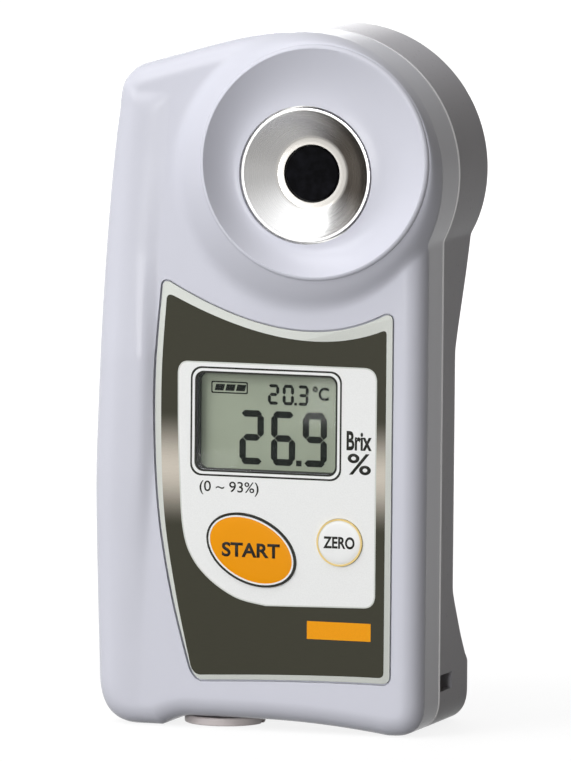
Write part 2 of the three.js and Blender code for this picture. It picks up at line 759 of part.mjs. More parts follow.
// Board stack behind the label: display, frame, rubber contacts, board
const boardThick = depthShares.boardThick * depth;
const boardY = trayBackY - trayWall - fit - boardThick;
const displayThick = depthShares.displayThick * depth;
const displayMargin = 1;
const displayGap = depthShares.displayGap * depth;
const displayY = labelY + wall + displayGap;
const frameWall = 1.1;
const boardShares = { left: -0.3445, right: 0.3004, bottom: 0.1188, top: 0.5713 };
const board = {
  left: boardShares.left * width,
  right: boardShares.right * width,
  bottom: boardShares.bottom * height,
  top: boardShares.top * height,
};
const displayBox = (by, y0, y1) =>
  block(
    windowX - windowWidth / 2 - displayMargin - by,
    windowX + windowWidth / 2 + displayMargin + by,
    y0,
    y1,
    windowZ - windowHeight / 2 - displayMargin - by,
    windowZ + windowHeight / 2 + displayMargin + by,
  );

function keyCap({ x, z, shape }) {
  const front = labelFrontY - keyProud;
  const flangeY = labelY + wall + fit;
  const crown = slab(shape(0), [
    { y: front, by: keyProud },
    { y: front + keyProud / 2, by: 0 },
    { y: flangeY + keyFlange, by: 0 },
  ]);
  const flange = plate(shape(keyCollar), flangeY, flangeY + keyFlange);
  const stem = barY(x, z, keyStemRadius, flangeY, boardY - domeThick - 2 * fit - keyTravel);
  return crown.add(flange).add(stem);
}

// A thin snap dome under a key.
function dome({ x, z }) {
  return barY(x, z, domeRadius, boardY - domeThick - fit / 2, boardY - fit / 2);
}

function displayFrame() {
  const outer = displayBox(fit + frameWall, displayY, boardY - fit);
  return outer.subtract(displayBox(fit, -depth, depth));
}

// Rubber contact strip above (+1) or below (-1) the middle of the display.
const stripHalf = 0.7; // half its height
function contactStrip(side) {
  const z = windowZ + side * (windowHeight / 2 - fit);
  const half = windowWidth / 2 - displayMargin;
  return block(
    windowX - half,
    windowX + half,
    displayY + displayThick + fit / 2,
    boardY - fit / 2,
    z - stripHalf,
    z + stripHalf,
  );
}

// A flat chip on the front of the board.
const chip = ({ x, z, wide, high, tall }) =>
  block(x, x + wide, boardY - fit / 2 - tall, boardY - fit / 2, z, z + high);
const controller = { x: 3, z: 14.6, wide: 7, high: 7, tall: 1 };
const crystal = { x: 12, z: 16, wide: 3, high: 5, tall: 0.9 };
const sounder = { x: -10, z: 14.5, wide: 6, high: 6, tall: 1.6 };

// Battery bay

const bushRadius = coinShank + fit + bushWall;
const trayFootWall = 1.6;
const trayFoot = bushRadius + fit + trayFootWall; // half width of the block that holds the bush
const trayFootShare = 0.7; // its reach to the front
function batteryTray() {
  const left = bayX - trayWidth / 2;
  const right = bayX + trayWidth / 2;
  const rimY = waistY - lidWall - fit;
  const outer = block(left, right, trayBackY - trayWall, rimY, bayFloorZ - trayWall, trayTopZ);
  const room = block(
    left + trayWall,
    right - trayWall,
    trayBackY,
    rimY + overrun,
    bayFloorZ,
    trayTopZ - trayWall,
  );
  const foot = block(
    coinX - trayFoot,
    coinX + trayFoot,
    coinY - trayFoot * trayFootShare,
    coinY + trayFoot,
    floorZ + fit,
    bayFloorZ,
  );
  const bore = barZ(coinX, coinY, bushRadius + fit, 0, bossTopZ - fit);
  return outer.subtract(room).add(foot).subtract(bore);
}

function lockBush() {
  const ring = barZ(coinX, coinY, bushRadius, floorZ + fit, bossTopZ - 2 * fit);
  return ring.subtract(barZ(coinX, coinY, coinShank + fit / 2, 0, height));
}

const slotDepthShare = 0.45;
function coinLock() {
  const head = barZ(coinX, coinY, coinRadius, 0, coinHead, headSegments);
  const shank = barZ(coinX, coinY, coinShank, coinHead / 2, bossTopZ - 3 * fit);
  const slotHalf = coinSlot / 2;
  const slot = block(
    coinX - coinRadius,
    coinX + coinRadius,
    coinY - slotHalf,
    coinY + slotHalf,
    -overrun,
    coinHead * slotDepthShare,
  );
  return head.add(shank).subtract(slot);
}

const cellSides = [
  { side: "left", x: bayX - cellPitch / 2, up: true },
  { side: "right", x: bayX + cellPitch / 2, up: false },
];
const contactThick = 0.6;
const bayTopZ = trayTopZ - trayWall;
const cellBase = (up) => (up ? cellZ : bayFloorZ + contactThick + 2 * fit + cellNub);

function cell({ x, up }) {
  const z = cellBase(up);
  const nubZ = up ? z + cellLength - overrun : z - cellNub;
  const nubTop = up ? z + cellLength + cellNub : z + overrun;
  return barZ(x, cellY, cellRadius, z, z + cellLength)
    .add(barZ(x, cellY, cellNubRadius, nubZ, nubTop, smallSegments));
}

// Coil contact at a cell's flat end, drawn as its outer cone.
const springWideShare = 0.72;
const springNarrowShare = 0.45;
const contactPlateShare = 0.8;
function springContact({ x, up }) {
  const wide = cellRadius * springWideShare;
  const narrow = cellRadius * springNarrowShare;
  const [low, high] = [cellBase(up) + cellLength + fit, bayTopZ - fit];
  if (up) return barZ(x, cellY, wide, bayFloorZ + fit, cellBase(up) - fit, roundSegments, narrow);
  return barZ(x, cellY, narrow, low, high, roundSegments, wide);
}

// Plate contact at a cell's button end.
function plateContact({ x, up }) {
  const z0 = up ? cellBase(up) + cellLength + cellNub + fit : bayFloorZ + fit;
  const z1 = up ? bayTopZ - fit : cellBase(up) - cellNub - fit;
  const half = cellRadius * contactPlateShare;
  return block(x - half, x + half, cellY - half, cellY + half, z0, z1);
}

// Optics in the head

const flangeRadius = widthShares.flangeRadius * width;
const flangeThick = 1.8;
const flangeY = labelY + wall + fit;
const prismHole = prismRadius + fit;
const coneBulge = 0.35; // the steel slope is a little round
const coneShare = 0.42;
const stageBreak = 0.1; // broken edge of the steel
function sampleStage() {
  return spinY(stageX, stageZ, [
    [prismHole, ringY],
    [ringRadius, ringY],
    [(ringRadius + stageRadius) / 2 + coneBulge, ringY - ringDepth * coneShare],
    [stageRadius - 3 * stageBreak, stageEdgeY],
    [stageRadius, stageEdgeY + stageBreak],
    [stageRadius, flangeY],
    [flangeRadius, flangeY],
    [flangeRadius, flangeY + flangeThick],
    [prismHole, flangeY + flangeThick],
    [prismHole, ringY],
  ], headSegments);
}

const opticsY = flangeY + flangeThick + 4 * fit;
const opticsBackY = waistY - wall - 2 * fit;
const opticsHalfX = widthShares.opticsHalfX * width;
const opticsHalfZ = widthShares.opticsHalfZ * width;
const lightDepth = depthShares.lightDepth * depth; // front of the block to the light path
const lightY = opticsY + lightDepth;
const prismShare = 0.72;
const prismHalf = prismRadius * prismShare;
const prismDeep = depthShares.prismDeep * depth;

function prism() {
  const round = barY(stageX, stageZ, prismRadius, ringY + fit / 2, opticsY + fit);
  const wedge = new THREE.Shape([
    new THREE.Vector2(stageX - prismHalf, opticsY),
    new THREE.Vector2(stageX + prismHalf, opticsY),
    new THREE.Vector2(stageX + prismHalf / 3, opticsY + prismDeep),
    new THREE.Vector2(stageX - prismHalf / 3, opticsY + prismDeep),
  ]);
  const bar = new THREE.ExtrudeGeometry(wedge, { depth: 2 * prismHalf, bevelEnabled: false });
  return round.add(solid(bar.translate(0, 0, stageZ - prismHalf)));
}

const prismSealWide = 1.6;
function prismSeal() {
  const [y0, y1] = [flangeY + flangeThick + fit / 2, opticsY - fit / 2];
  const ring = barY(stageX, stageZ, prismHole + prismSealWide, y0, y1);
  return ring.subtract(barY(stageX, stageZ, prismRadius + fit / 2, -depth, depth));
}

const opticsScrewInset = 1.6;
const opticsScrewX = opticsHalfX - opticsScrewInset;
const opticsScrewZ = opticsHalfZ - opticsScrewInset;
const opticsScrews = [
  { name: "optics_screw_1", x: stageX - opticsScrewX, z: stageZ + opticsScrewZ },
  { name: "optics_screw_2", x: stageX + opticsScrewX, z: stageZ - opticsScrewZ },
];
const opticsHeadRadius = 1.5;
const opticsSeatY = opticsBackY - screwHeadTall - fit;
const lampBore = 1.9;
const lensBore = 3;

function opticsBlock() {
  let body = block(
    stageX - opticsHalfX,
    stageX + opticsHalfX,
    opticsY,
    opticsBackY,
    stageZ - opticsHalfZ,
    stageZ + opticsHalfZ,
  );
  body = body.subtract(barY(stageX, stageZ, prismRadius + fit, -depth, opticsY + 2 * fit));
  const room = prismHalf + 2 * fit;
  body = body.subtract(
    block(stageX - room, stageX + room, opticsY - overrun, opticsY + prismDeep + 2 * fit,
      stageZ - room, stageZ + room),
  );
  body = body.subtract(barX(lightY, stageZ, lampBore + fit, -width, stageX));
  body = body.subtract(barX(lightY, stageZ, lensBore + fit, stageX, width));
  for (const { x, z } of opticsScrews) {
    body = body.subtract(barY(x, z, screwRadius + fit, -depth, depth, smallSegments));
    body = body.subtract(barY(x, z, opticsHeadRadius + fit, opticsSeatY, depth, smallSegments));
  }
  return body;
}

const lampLong = widthShares.lampLong * width;
const lampX = stageX - opticsHalfX;
const lamp = () => barX(lightY, stageZ, lampBore, lampX, lampX + lampLong);
const lensGap = widthShares.lensGap * width; // wedge to lens
const lensX = stageX + prismHalf + lensGap;
const lensThick = 1.6;
const lens = () => barX(lightY, stageZ, lensBore, lensX, lensX + lensThick);
const sensorX = stageX + opticsHalfX;
const sensorShare = 0.68;
const imageSensor = () => {
  const half = lensBore * sensorShare;
  return block(sensorX - overrun, sensorX + fit / 2, lightY - half, lightY + half,
    stageZ - half, stageZ + half);
};
const sideBoard = (x) =>
  block(x, x + boardThick, opticsY + fit, opticsBackY - fit,
    stageZ - opticsHalfZ + fit, stageZ + opticsHalfZ - fit);
const thermistorRadius = 1;
const thermistorShares = [-0.72, -0.38]; // of the flange's radius, from the prism
function thermistor() {
  const [x, z] = thermistorShares.map((share) => share * flangeRadius);
  const [y0, y1] = [flangeY + flangeThick + fit / 2, opticsY - fit / 2];
  return barY(stageX + x, stageZ + z, thermistorRadius, y0, y1);
}

// Flat lead from the main board up to the sensor board's level.
const leadWidth = widthShares.leadWidth * width;
function sensorLead() {
  const x = stageX - leadWidth / 2;
  const y = boardY + boardThick / 2;
  const low = board.top + fit;
  const high = stageZ - opticsHalfZ - fit;
  return block(x, x + leadWidth, y - fit / 2, y + fit / 2, low, high);
}

// A screw along Y with its head at the back.
const crossShare = 0.62; // half length of the cross in a screw head
const crossSlimShare = 0.16; // half width of it
function screw(x, z, headY, tipY, headRadius = screwHeadRadius) {
  const headTall = screwHeadTall;
  const head = barY(x, z, headRadius, headY, headY + headTall);
  const shank = barY(x, z, screwRadius, tipY, headY + headTall / 2, smallSegments);
  const cross = headRadius * crossShare;
  const slim = headRadius * crossSlimShare;
  const cutY = headY + headTall / 2;
  const cut = block(x - cross, x + cross, cutY, cutY + headTall, z - slim, z + slim)
    .add(block(x - slim, x + slim, cutY, cutY + headTall, z - cross, z + cross));
  return head.add(shank).subtract(cut);
}

// The instrument

function build() {
  const instrument = new THREE.Group();
  const add = (name, body, material) => instrument.add(piece(name, body, material));
  add("front_case", frontCase(), shellGrey);
  add("rear_case", rearCase(), rearGrey);
  add("case_seal", sealRing(0).subtract(lidLip(-2 * fit)), rubberBlack);
  for (const { name, x, z } of casePosts)
    add(name, screw(x, z, screwSeatY + fit / 2, seamY - screwDepth), nickel);

  add("keypad_label", keypadLabel(), labelOlive);
  add("display_window", plate(windowShape(0), labelFrontY, labelFrontY + labelThick), clearGlass);
  for (const key of keys) {
    add(key.name, keyCap(key), key.material);
    add(key.name + "_dome", dome(key), nickel);
  }
  add("display_panel", displayBox(0, displayY, displayY + displayThick), displayGrey);
  add("display_frame", displayFrame(), moulded);
  add("display_contact_upper", contactStrip(1), rubberBlack);
  add("display_contact_lower", contactStrip(-1), rubberBlack);
  const { left, right, bottom, top } = board;
  add("main_board", block(left, right, boardY, boardY + boardThick, bottom, top), boardGreen);
  add("microcontroller", chip(controller), siliconBlack);
  add("clock_crystal", chip(crystal), nickel);
  add("beeper", chip(sounder), siliconBlack);

  add("battery_tray", batteryTray(), moulded);
  for (const place of cellSides) {
    add("aaa_cell_" + place.side, cell(place), cellSkin);
    add("spring_contact_" + place.side, springContact(place), nickel);
    add("plate_contact_" + place.side, plateContact(place), nickel);
  }
  add("battery_lid", batteryLid(), rearGrey);
  add("coin_lock", coinLock(), lockGrey);
  add("lock_bush", lockBush(), brass);

  add("sample_stage", sampleStage(), steel);
  add("prism", prism(), opticGlass);
  add("prism_seal", prismSeal(), rubberBlack);
  add("optics_block", opticsBlock(), moulded);
  add("lamp", lamp(), lampAmber);
  add("lamp_board", sideBoard(lampX - fit - boardThick), boardGreen);
  add("lens", lens(), clearGlass);
  add("image_sensor", imageSensor(), siliconBlack);
  add("sensor_board", sideBoard(sensorX + 1.5 * fit), boardGreen);
  add("thermistor", thermistor(), siliconBlack);
  add("sensor_lead", sensorLead(), filmGold);
  for (const { name, x, z } of opticsScrews)
    add(name, screw(x, z, opticsSeatY + fit / 2, labelY, opticsHeadRadius), nickel);
  return instrument;
}

export default build();
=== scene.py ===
"""A pocket digital refractometer that stands on its feet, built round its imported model.

Lengths are in metres. X runs to the right of someone facing the display, Y to the back, Z up.
"""
import math

import bmesh
import bpy
import numpy as np
from mathutils import Matrix, Vector


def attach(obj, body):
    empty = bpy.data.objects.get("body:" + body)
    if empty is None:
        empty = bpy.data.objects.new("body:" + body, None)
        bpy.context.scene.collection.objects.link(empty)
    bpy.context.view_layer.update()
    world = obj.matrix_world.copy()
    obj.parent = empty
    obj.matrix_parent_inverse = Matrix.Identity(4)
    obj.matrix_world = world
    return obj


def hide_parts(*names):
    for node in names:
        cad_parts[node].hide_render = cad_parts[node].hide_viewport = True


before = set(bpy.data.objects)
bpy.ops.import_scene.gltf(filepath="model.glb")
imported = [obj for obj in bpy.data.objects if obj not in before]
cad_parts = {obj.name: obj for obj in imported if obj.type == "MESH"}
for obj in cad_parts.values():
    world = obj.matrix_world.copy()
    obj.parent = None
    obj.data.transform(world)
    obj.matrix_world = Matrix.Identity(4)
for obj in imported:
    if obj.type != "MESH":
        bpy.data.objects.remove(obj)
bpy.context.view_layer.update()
scene = bpy.context.scene
scene.view_settings.view_transform = "Standard"

mm = 0.001
TURN = 2 * math.pi

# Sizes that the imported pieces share, in millimetres
width, depth, height = 56.6, 31.0, 109.4
wall, fit = 1.8, 0.3
label_y = -11.1  # front face of the case
seam_y = -0.6  # joint of the two case halves
waist_y = 8.9
rear_y = 15.5
in_front, far = -20, 40  # where cutters start before everything, and how far they reach
head_x, head_z, head_radius = 6.0, 87.1, 22.3
rim_radius, rim_shift_x, rim_shift_z, rim_crest = 18.3, 2.8, 2.4, 0.6
rim_fall, rim_fall_turn = 2.5, math.radians(40)  # how far the crest leans back, most at its upper right
stage_x, stage_z = head_x + 0.6, head_z + 0.2
stage_radius, stage_depth = 10.5, 4.0
stage_edge_y = -depth / 2 + stage_depth
ring_radius, ring_y = 5.6, -8.1
prism_radius = 4.25
side_x = 25.8
feet_rise, floor_z = 1.6, 3.4  # arch between the feet and the inside of the case above it
front_round, rear_round, waist_round = 3.4, 1.4, 3.2
ridge_proud = 1.5
label_front_y = -11.0
label_thick = 0.5
window_x, window_z, window_wide, window_high, window_corner = 0.4, 48.3, 24.0, 16.4, 1.6
start_x, start_z, start_long, start_short = -1.8, 28.4, 7.7, 5.2
start_tilt = math.radians(-25)
zero_x, zero_z, zero_radius = 12.6, 30.2, 3.7
key_proud = 0.35
bay_x, lid_top = -10.0, 61.8
bay_floor, bay_top = 9.4, 58.6
lid_lap, seat_sunk = 2.6, 3.2  # how far the lid and the case screws' seats reach in from the waist
lid_wide = 25.4
coin_x, coin_y, coin_radius, coin_head = -9.0, -1.6, 6.35, 1.25
skin_rays, joint_soft = (820, 760), 0.4  # points round each shell, and how softly head and case meet


# Mesh helpers

def placed(name, data):
    """A new object in the scene for a mesh, a curve, a light or a camera."""
    obj = bpy.data.objects.new(name, data)
    scene.collection.objects.link(obj)
    return obj


def piece(name, points, faces, materials=()):
    """A smooth mesh object from points in millimetres."""
    mesh = bpy.data.meshes.new(name)
    mesh.from_pydata([(x * mm, y * mm, z * mm) for x, y, z in points], [], faces)
    for material in materials:
        mesh.materials.append(material)
    mesh.shade_smooth()
    return placed(name, mesh)


def clean(obj, gap=0.002, sharp=None):
    """Merges doubled points, turns the faces outwards and keeps edges over an angle sharp."""
    bm = bmesh.new()
    bm.from_mesh(obj.data)
    bmesh.ops.remove_doubles(bm, verts=bm.verts, dist=gap * mm)
    bmesh.ops.dissolve_degenerate(bm, edges=bm.edges, dist=gap * mm / 4)
    bmesh.ops.recalc_face_normals(bm, faces=bm.faces)
    bm.to_mesh(obj.data)
    bm.free()
    if sharp is not None:
        obj.data.shade_smooth()
        obj.data.set_sharp_from_angle(angle=math.radians(sharp))
    return obj


def crisp(obj, sharp=30, gap=0.0005):
    """Cleans a piece whose points lie close together and keeps its edges sharp."""
    return clean(obj, gap, sharp)


def flat_mesh(obj):
    """The object with its modifiers worked out and taken off."""
    depsgraph = bpy.context.evaluated_depsgraph_get()
    mesh = bpy.data.meshes.new_from_object(obj.evaluated_get(depsgraph))
    obj.modifiers.clear()
    obj.data = mesh
    return obj


def bevelled(obj, width, **values):
    """The object with its edges bevelled."""
    bevel = obj.modifiers.new("edge", "BEVEL")
    bevel.width, bevel.segments = width * mm, 2
    for key, value in values.items():
        setattr(bevel, key, value)
    return flat_mesh(obj)


def cut(obj, cutter, how="DIFFERENCE"):
    """Cuts, joins or crosses an object with another, which is used up."""
    step = obj.modifiers.new("cut", "BOOLEAN")
    step.operation = how
    step.solver = "EXACT"
    step.object = cutter
    flat_mesh(obj)
    bpy.data.objects.remove(cutter)
    return obj


def joined(name, parts):
    """Several objects' meshes as one object."""
    bm = bmesh.new()
    for part in parts:
        bm.from_mesh(part.data)
    mesh = bpy.data.meshes.new(name)
    bm.to_mesh(mesh)
    bm.free()
    for material in parts[0].data.materials:
        mesh.materials.append(material)
    obj = placed(name, mesh)
    for part in parts:
        bpy.data.objects.remove(part)
    return obj


def wall_faces(rows, n):
    """Faces between rows of n points each."""
    faces = []
    for j in range(rows - 1):
        for k in range(n):
            a, b = j * n + k, j * n + (k + 1) % n
            faces.append((a, b, b + n, a + n))
    return faces


def end_faces(rows, n):
    """Faces that close the first and the last of the rows."""
    last = (rows - 1) * n
    return [tuple(range(n))[::-1], tuple(range(last, last + n))]


def prism_y(name, outline, y0, y1):
    """A closed outline in X and Z drawn along Y."""
    n = len(outline)
    points = [(x, y, z) for y in (y0, y1) for x, z in outline]
    return clean(piece(name, points, end_faces(2, n) + wall_faces(2, n)))


def prism_x(name, outline, x0, x1):
    """A closed outline in Y and Z drawn along X."""
    n = len(outline)
    points = [(x, y, z) for x in (x0, x1) for y, z in outline]
    return clean(piece(name, points, end_faces(2, n) + wall_faces(2, n)))


def box_piece(name, x0, x1, y0, y1, z0, z1):
    return prism_y(name, [(x0, z0), (x1, z0), (x1, z1), (x0, z1)], y0, y1)


def turned(name, profile, axis="Y", place=(0, 0, 0), sides=128, materials=()):
    """A profile of (radius, height) pairs spun round an axis and closed at both ends."""
    rows = []
    for r, h in profile:
        for k in range(sides):
            a = TURN * k / sides
            u, v = r * math.cos(a), r * math.sin(a)
            at = (u, h, v) if axis == "Y" else (u, v, h)
            rows.append([at[i] + place[i] for i in range(3)])
    faces = wall_faces(len(profile), sides)
    if profile[0] != profile[-1]:
        faces += end_faces(len(profile), sides)
    return clean(piece(name, rows, faces, materials), sharp=30)


def round_box(x, z, wide, high, r):
    """A rectangle with round corners."""
    points, steps = [], 8
    for cx, cz, start in ((1, -1, -90), (1, 1, 0), (-1, 1, 90), (-1, -1, 180)):
        for i in range(steps + 1):
            a = math.radians(start + 90 * i / steps)
            points.append((x + cx * (wide / 2 - r) + r * math.cos(a),
                           z + cz * (high / 2 - r) + r * math.sin(a)))
    return points


def oval(x, z, a, b, turn=0.0, sides=128):
    """An ellipse of half lengths a and b, turned about its middle."""
    points = []
    for k in range(sides):
        t = TURN * k / sides
        u, v = a * math.cos(t), b * math.sin(t)
        points.append((x + u * math.cos(turn) - v * math.sin(turn),
                       z + u * math.sin(turn) + v * math.cos(turn)))
    return points


def curve_to(points, *control, steps=10):
    """Adds a quadratic curve from the last point through one control point, or a smooth line through many."""
    p0 = np.array(points[-1])
    if len(control) == 2:
        c, p1 = (np.array(p) for p in control)
        for i in range(1, steps + 1):
            t = i / steps
            points.append(tuple((1 - t) ** 2 * p0 + 2 * t * (1 - t) * c + t * t * p1))
    else:
        knots = [p0, *(np.array(p) for p in control)]
        for k in range(len(knots) - 1):
            a, b = knots[max(k - 1, 0)], knots[k]
            c, d = knots[k + 1], knots[min(k + 2, len(knots) - 1)]
            for i in range(1, steps + 1):
                t = i / steps
                m0, m1 = (c - a) / 2, (d - b) / 2
                points.append(tuple((2 * t**3 - 3 * t**2 + 1) * b + (t**3 - 2 * t**2 + t) * m0
                                    + (3 * t**2 - 2 * t**3) * c + (t**3 - t**2) * m1))


def grown(outline, amount):
    """A closed outline moved outwards by an amount, or inwards by a negative one."""
    p = np.array(outline)
    ahead, behind = np.roll(p, -1, 0), np.roll(p, 1, 0)
    along = (ahead - behind) / np.linalg.norm(ahead - behind, axis=1)[:, None]
    area = np.sum(p[:, 0] * ahead[:, 1] - ahead[:, 0] * p[:, 1])
    out = np.stack([along[:, 1], -along[:, 0]], 1) * np.sign(area)
    return [tuple(q) for q in p + amount * out]


def distance_to(points, outline):
    """How far each point is from a closed line."""
    p = np.array(outline)
    q = np.roll(p, -1, 0)
    best = np.full(len(points), np.inf)
    for a, b in zip(p, q):
        ab = b - a
        t = np.clip(((points - a) @ ab) / max(ab @ ab, 1e-12), 0, 1)
        best = np.minimum(best, np.linalg.norm(points - (a + t[:, None] * ab), axis=1))
    return best


def smooth_min(a, b, reach):
    """The lower of two heights, rounded where they cross."""
    h = np.clip(0.5 + 0.5 * (b - a) / reach, 0, 1)
    return b * (1 - h) + a * h - reach * h * (1 - h)


def smooth_max(a, b, reach):
    return -smooth_min(-a, -b, reach)


def rounding(distance, radius):
    """How far a rounded edge falls back, at a distance from the outline."""
    u = np.clip(1 - distance / radius, 0, 1)
    return radius * (1 - np.sqrt(np.clip(1 - u * u, 0, 1)))


# Materials

def new_group(name, inputs, outputs):
    """An empty shader node group with named number or colour sockets."""
    group = bpy.data.node_groups.new(name, "ShaderNodeTree")
    for title, kind, value in inputs:
        socket = group.interface.new_socket(title, in_out="INPUT", socket_type=kind)
        socket.default_value = value
    for title, kind in outputs:
        group.interface.new_socket(title, in_out="OUTPUT", socket_type=kind)
    return group, Nodes(group)


class Nodes:
    """Short ways to add and join the nodes of one tree."""

    def __init__(self, tree):
        self.tree = tree
        if tree.interface.items_tree:
            self.entry = tree.nodes.new("NodeGroupInput")
            self.exit = tree.nodes.new("NodeGroupOutput")

    def join(self, source, target):
        self.tree.links.new(source, target)

    def add(self, kind, links=None, **values):
        node = self.tree.nodes.new(kind)
        for key, value in values.items():
            setattr(node, key, value)
        for key, value in (links or {}).items():
            if isinstance(value, bpy.types.NodeSocket):
                self.join(value, node.inputs[key])
            else:
                node.inputs[key].default_value = value
        return node

    def place(self, scale=(1, 1, 1), turn=(0, 0, 0), offset=(0, 0, 0)):
        """Object coordinates in millimetres, stretched, turned and moved."""
        where = self.add("ShaderNodeTexCoord").outputs["Object"]
        sizes = tuple(s / mm for s in scale)
        at = tuple(-o * s for o, s in zip(offset, scale))
        return self.add("ShaderNodeMapping", {"Vector": where, "Scale": sizes, "Rotation": turn,
                                              "Location": at}).outputs[0]

    def axis(self, name, vector=None):
        """One part of a vector, which is the object's own place in millimetres unless one is given."""
        return self.add("ShaderNodeSeparateXYZ", {0: vector or self.place()}).outputs[name]

    def noise(self, vector, scale, detail=3.0, roughness=0.5):
        return self.add("ShaderNodeTexNoise", {"Vector": vector, "Scale": scale, "Detail": detail,
                                               "Roughness": roughness}).outputs["Fac"]

    def sums(self, how, a, b, clamp=False):
        return self.add("ShaderNodeMath", {0: a, 1: b}, operation=how, use_clamp=clamp).outputs[0]

    def between(self, value, low, high, start=0.0, end=1.0):
        return self.add("ShaderNodeMapRange", {"Value": value, "From Min": low, "From Max": high,
                                               "To Min": start, "To Max": end}).outputs[0]

    def spread(self, noise, start=0.0, end=1.0):
        """A noise's usual range stretched over other values."""
        return self.between(noise, 0.3, 0.7, start, end)

    def shaded(self, tone, shade):
        return self.add("ShaderNodeHueSaturation", {"Color": tone, "Value": shade}).outputs[0]

    def blend(self, factor, a, b):
        node = self.add("ShaderNodeMix", data_type="RGBA")
        for socket, value in zip((node.inputs[0], node.inputs[6], node.inputs[7]), (factor, a, b)):
            if isinstance(value, bpy.types.NodeSocket):
                self.join(value, socket)
            else:
                socket.default_value = value
        return node.outputs[2]

    def bump(self, height, strength, distance):
        return self.add("ShaderNodeBump", {"Height": height, "Strength": strength,
                                           "Distance": distance * mm}).outputs[0]


def colour(text):
    """A colour as written on a screen, as the shader's linear numbers."""
    parts = [int(text[i:i + 2], 16) / 255 for i in (0, 2, 4)]
    return tuple(c / 12.92 if c <= 0.04045 else ((c + 0.055) / 1.055) ** 2.4 for c in parts) + (1.0,)


def material(name, base, **values):
    """A new material with its Principled shader set; returns the material, its nodes and the shader."""
    made = bpy.data.materials.new(name)
    made.use_nodes = True
    tree = made.node_tree
    nodes = Nodes(tree)
    shader = tree.nodes["Principled BSDF"]
    shader.inputs["Base Color"].default_value = base
    made.diffuse_color = base
    for key, value in values.items():
        shader.inputs[key.replace("_", " ")].default_value = value
    return made, nodes, shader


def make_grain_group():
    """Fine moulded grain: a tone that drifts over the piece, a mottle in the gloss and a low relief."""
    group, n = new_group("moulded_grain", [
        ("Color", "NodeSocketColor", (0.8, 0.8, 0.8, 1)), ("Drift", "NodeSocketFloat", 0.04),
        ("Roughness", "NodeSocketFloat", 0.3), ("Mottle", "NodeSocketFloat", 0.05),
        ("Grain", "NodeSocketFloat", 1.5)],
        [("Color", "NodeSocketColor"), ("Roughness", "NodeSocketFloat"), ("Height", "NodeSocketFloat")])
    where = n.place()
    broad = n.noise(where, 0.05, 2.0)
    fine = n.noise(where, n.entry.outputs["Grain"], 4.0, 0.6)
    shade = n.sums("MULTIPLY", n.spread(broad, -1.0, 1.0), n.entry.outputs["Drift"])
    n.join(n.shaded(n.entry.outputs["Color"], n.sums("ADD", shade, 1.0)), n.exit.inputs["Color"])
    mottle = n.sums("MULTIPLY", n.spread(fine, -1.0, 1.0), n.entry.outputs["Mottle"])
    n.join(n.sums("ADD", mottle, n.entry.outputs["Roughness"], True), n.exit.inputs["Roughness"])
    n.join(fine, n.exit.inputs["Height"])
    return group


def make_wear_group():
    """Handling marks: hair scratches in two directions and a film of fine dust in patches."""
    group, n = new_group("handling_marks", [
        ("Scratches", "NodeSocketFloat", 0.5), ("Dust", "NodeSocketFloat", 0.1)],
        [("Mask", "NodeSocketFloat"), ("Dust", "NodeSocketFloat")])
    lines = []
    for turn in (0.5, -0.9):
        where = n.place(scale=(0.05, 0.05, 1.8), turn=(0, turn, 0.3))
        lines.append(n.between(n.noise(where, 1.0, 2.0, 0.4), 0.69, 0.74))
    both = n.sums("MAXIMUM", *lines)
    patch = n.between(n.noise(n.place(), 0.12, 2.0), 0.45, 0.65)
    scratched = n.sums("MULTIPLY", n.sums("MULTIPLY", both, patch), n.entry.outputs["Scratches"])
    n.join(scratched, n.exit.inputs["Mask"])
    specks = n.between(n.noise(n.place(), 2.6, 5.0, 0.7), 0.55, 0.8)
    dusted = n.sums("MULTIPLY", n.sums("MULTIPLY", specks, patch), n.entry.outputs["Dust"])
    n.join(dusted, n.exit.inputs["Dust"])
    return group


def dress(n, shader, tone, shade, pattern, gloss, relief):
    """Joins a shaded tone, a roughness between two values and a low relief, the last two from one pattern."""
    n.join(n.shaded(tone, shade), shader.inputs["Base Color"])
    n.join(n.spread(pattern, *gloss), shader.inputs["Roughness"])
    n.join(n.bump(pattern, *relief), shader.inputs["Normal"])


grain_group, wear_group = make_grain_group(), make_wear_group()


def moulded(name, tone, roughness, drift=0.03, mottle=0.04, grain=1.5, relief=0.004, scratches=0.0, dust=0.0,
            **values):
    """Moulded plastic, rubber or a painted skin with grain, marks and a little dust."""
    made, n, shader = material(name, colour(tone), **values)
    body = n.add("ShaderNodeGroup", node_tree=grain_group)
    for key, value in (("Color", colour(tone)), ("Drift", drift), ("Roughness", roughness),
                       ("Mottle", mottle), ("Grain", grain)):
        body.inputs[key].default_value = value
    marks = n.add("ShaderNodeGroup", node_tree=wear_group)
    marks.inputs["Scratches"].default_value = scratches
    marks.inputs["Dust"].default_value = dust
    dusty = n.blend(marks.outputs["Dust"], body.outputs["Color"], colour("a8a49c"))
    n.join(dusty, shader.inputs["Base Color"])
    rough = n.sums("ADD", body.outputs["Roughness"], n.sums("MULTIPLY", marks.outputs["Mask"], 0.2), True)
    n.join(rough, shader.inputs["Roughness"])
    n.join(n.bump(body.outputs["Height"], 0.4, relief), shader.inputs["Normal"])
    return made


shell_front = moulded("shell_front_gloss", "cfd0da", 0.22, drift=0.012, mottle=0.02, relief=0.0015,
                      Specular_IOR_Level=0.12, Coat_Weight=0.04, Coat_Roughness=0.12)
shell_rear = moulded("shell_rear_gloss", "c6c5cb", 0.28, drift=0.015, mottle=0.008, relief=0.0003,
                     Specular_IOR_Level=0.03)
# A pale tone that glows a little: a painted highlight for the bright line along the joint.
seam_painted_highlight = moulded("shell_seam_painted_highlight", "d5d5db", 0.3, drift=0.01, mottle=0.01, relief=0.001,
                     Emission_Color=(0.9, 0.88, 0.85, 1), Emission_Strength=0.18)

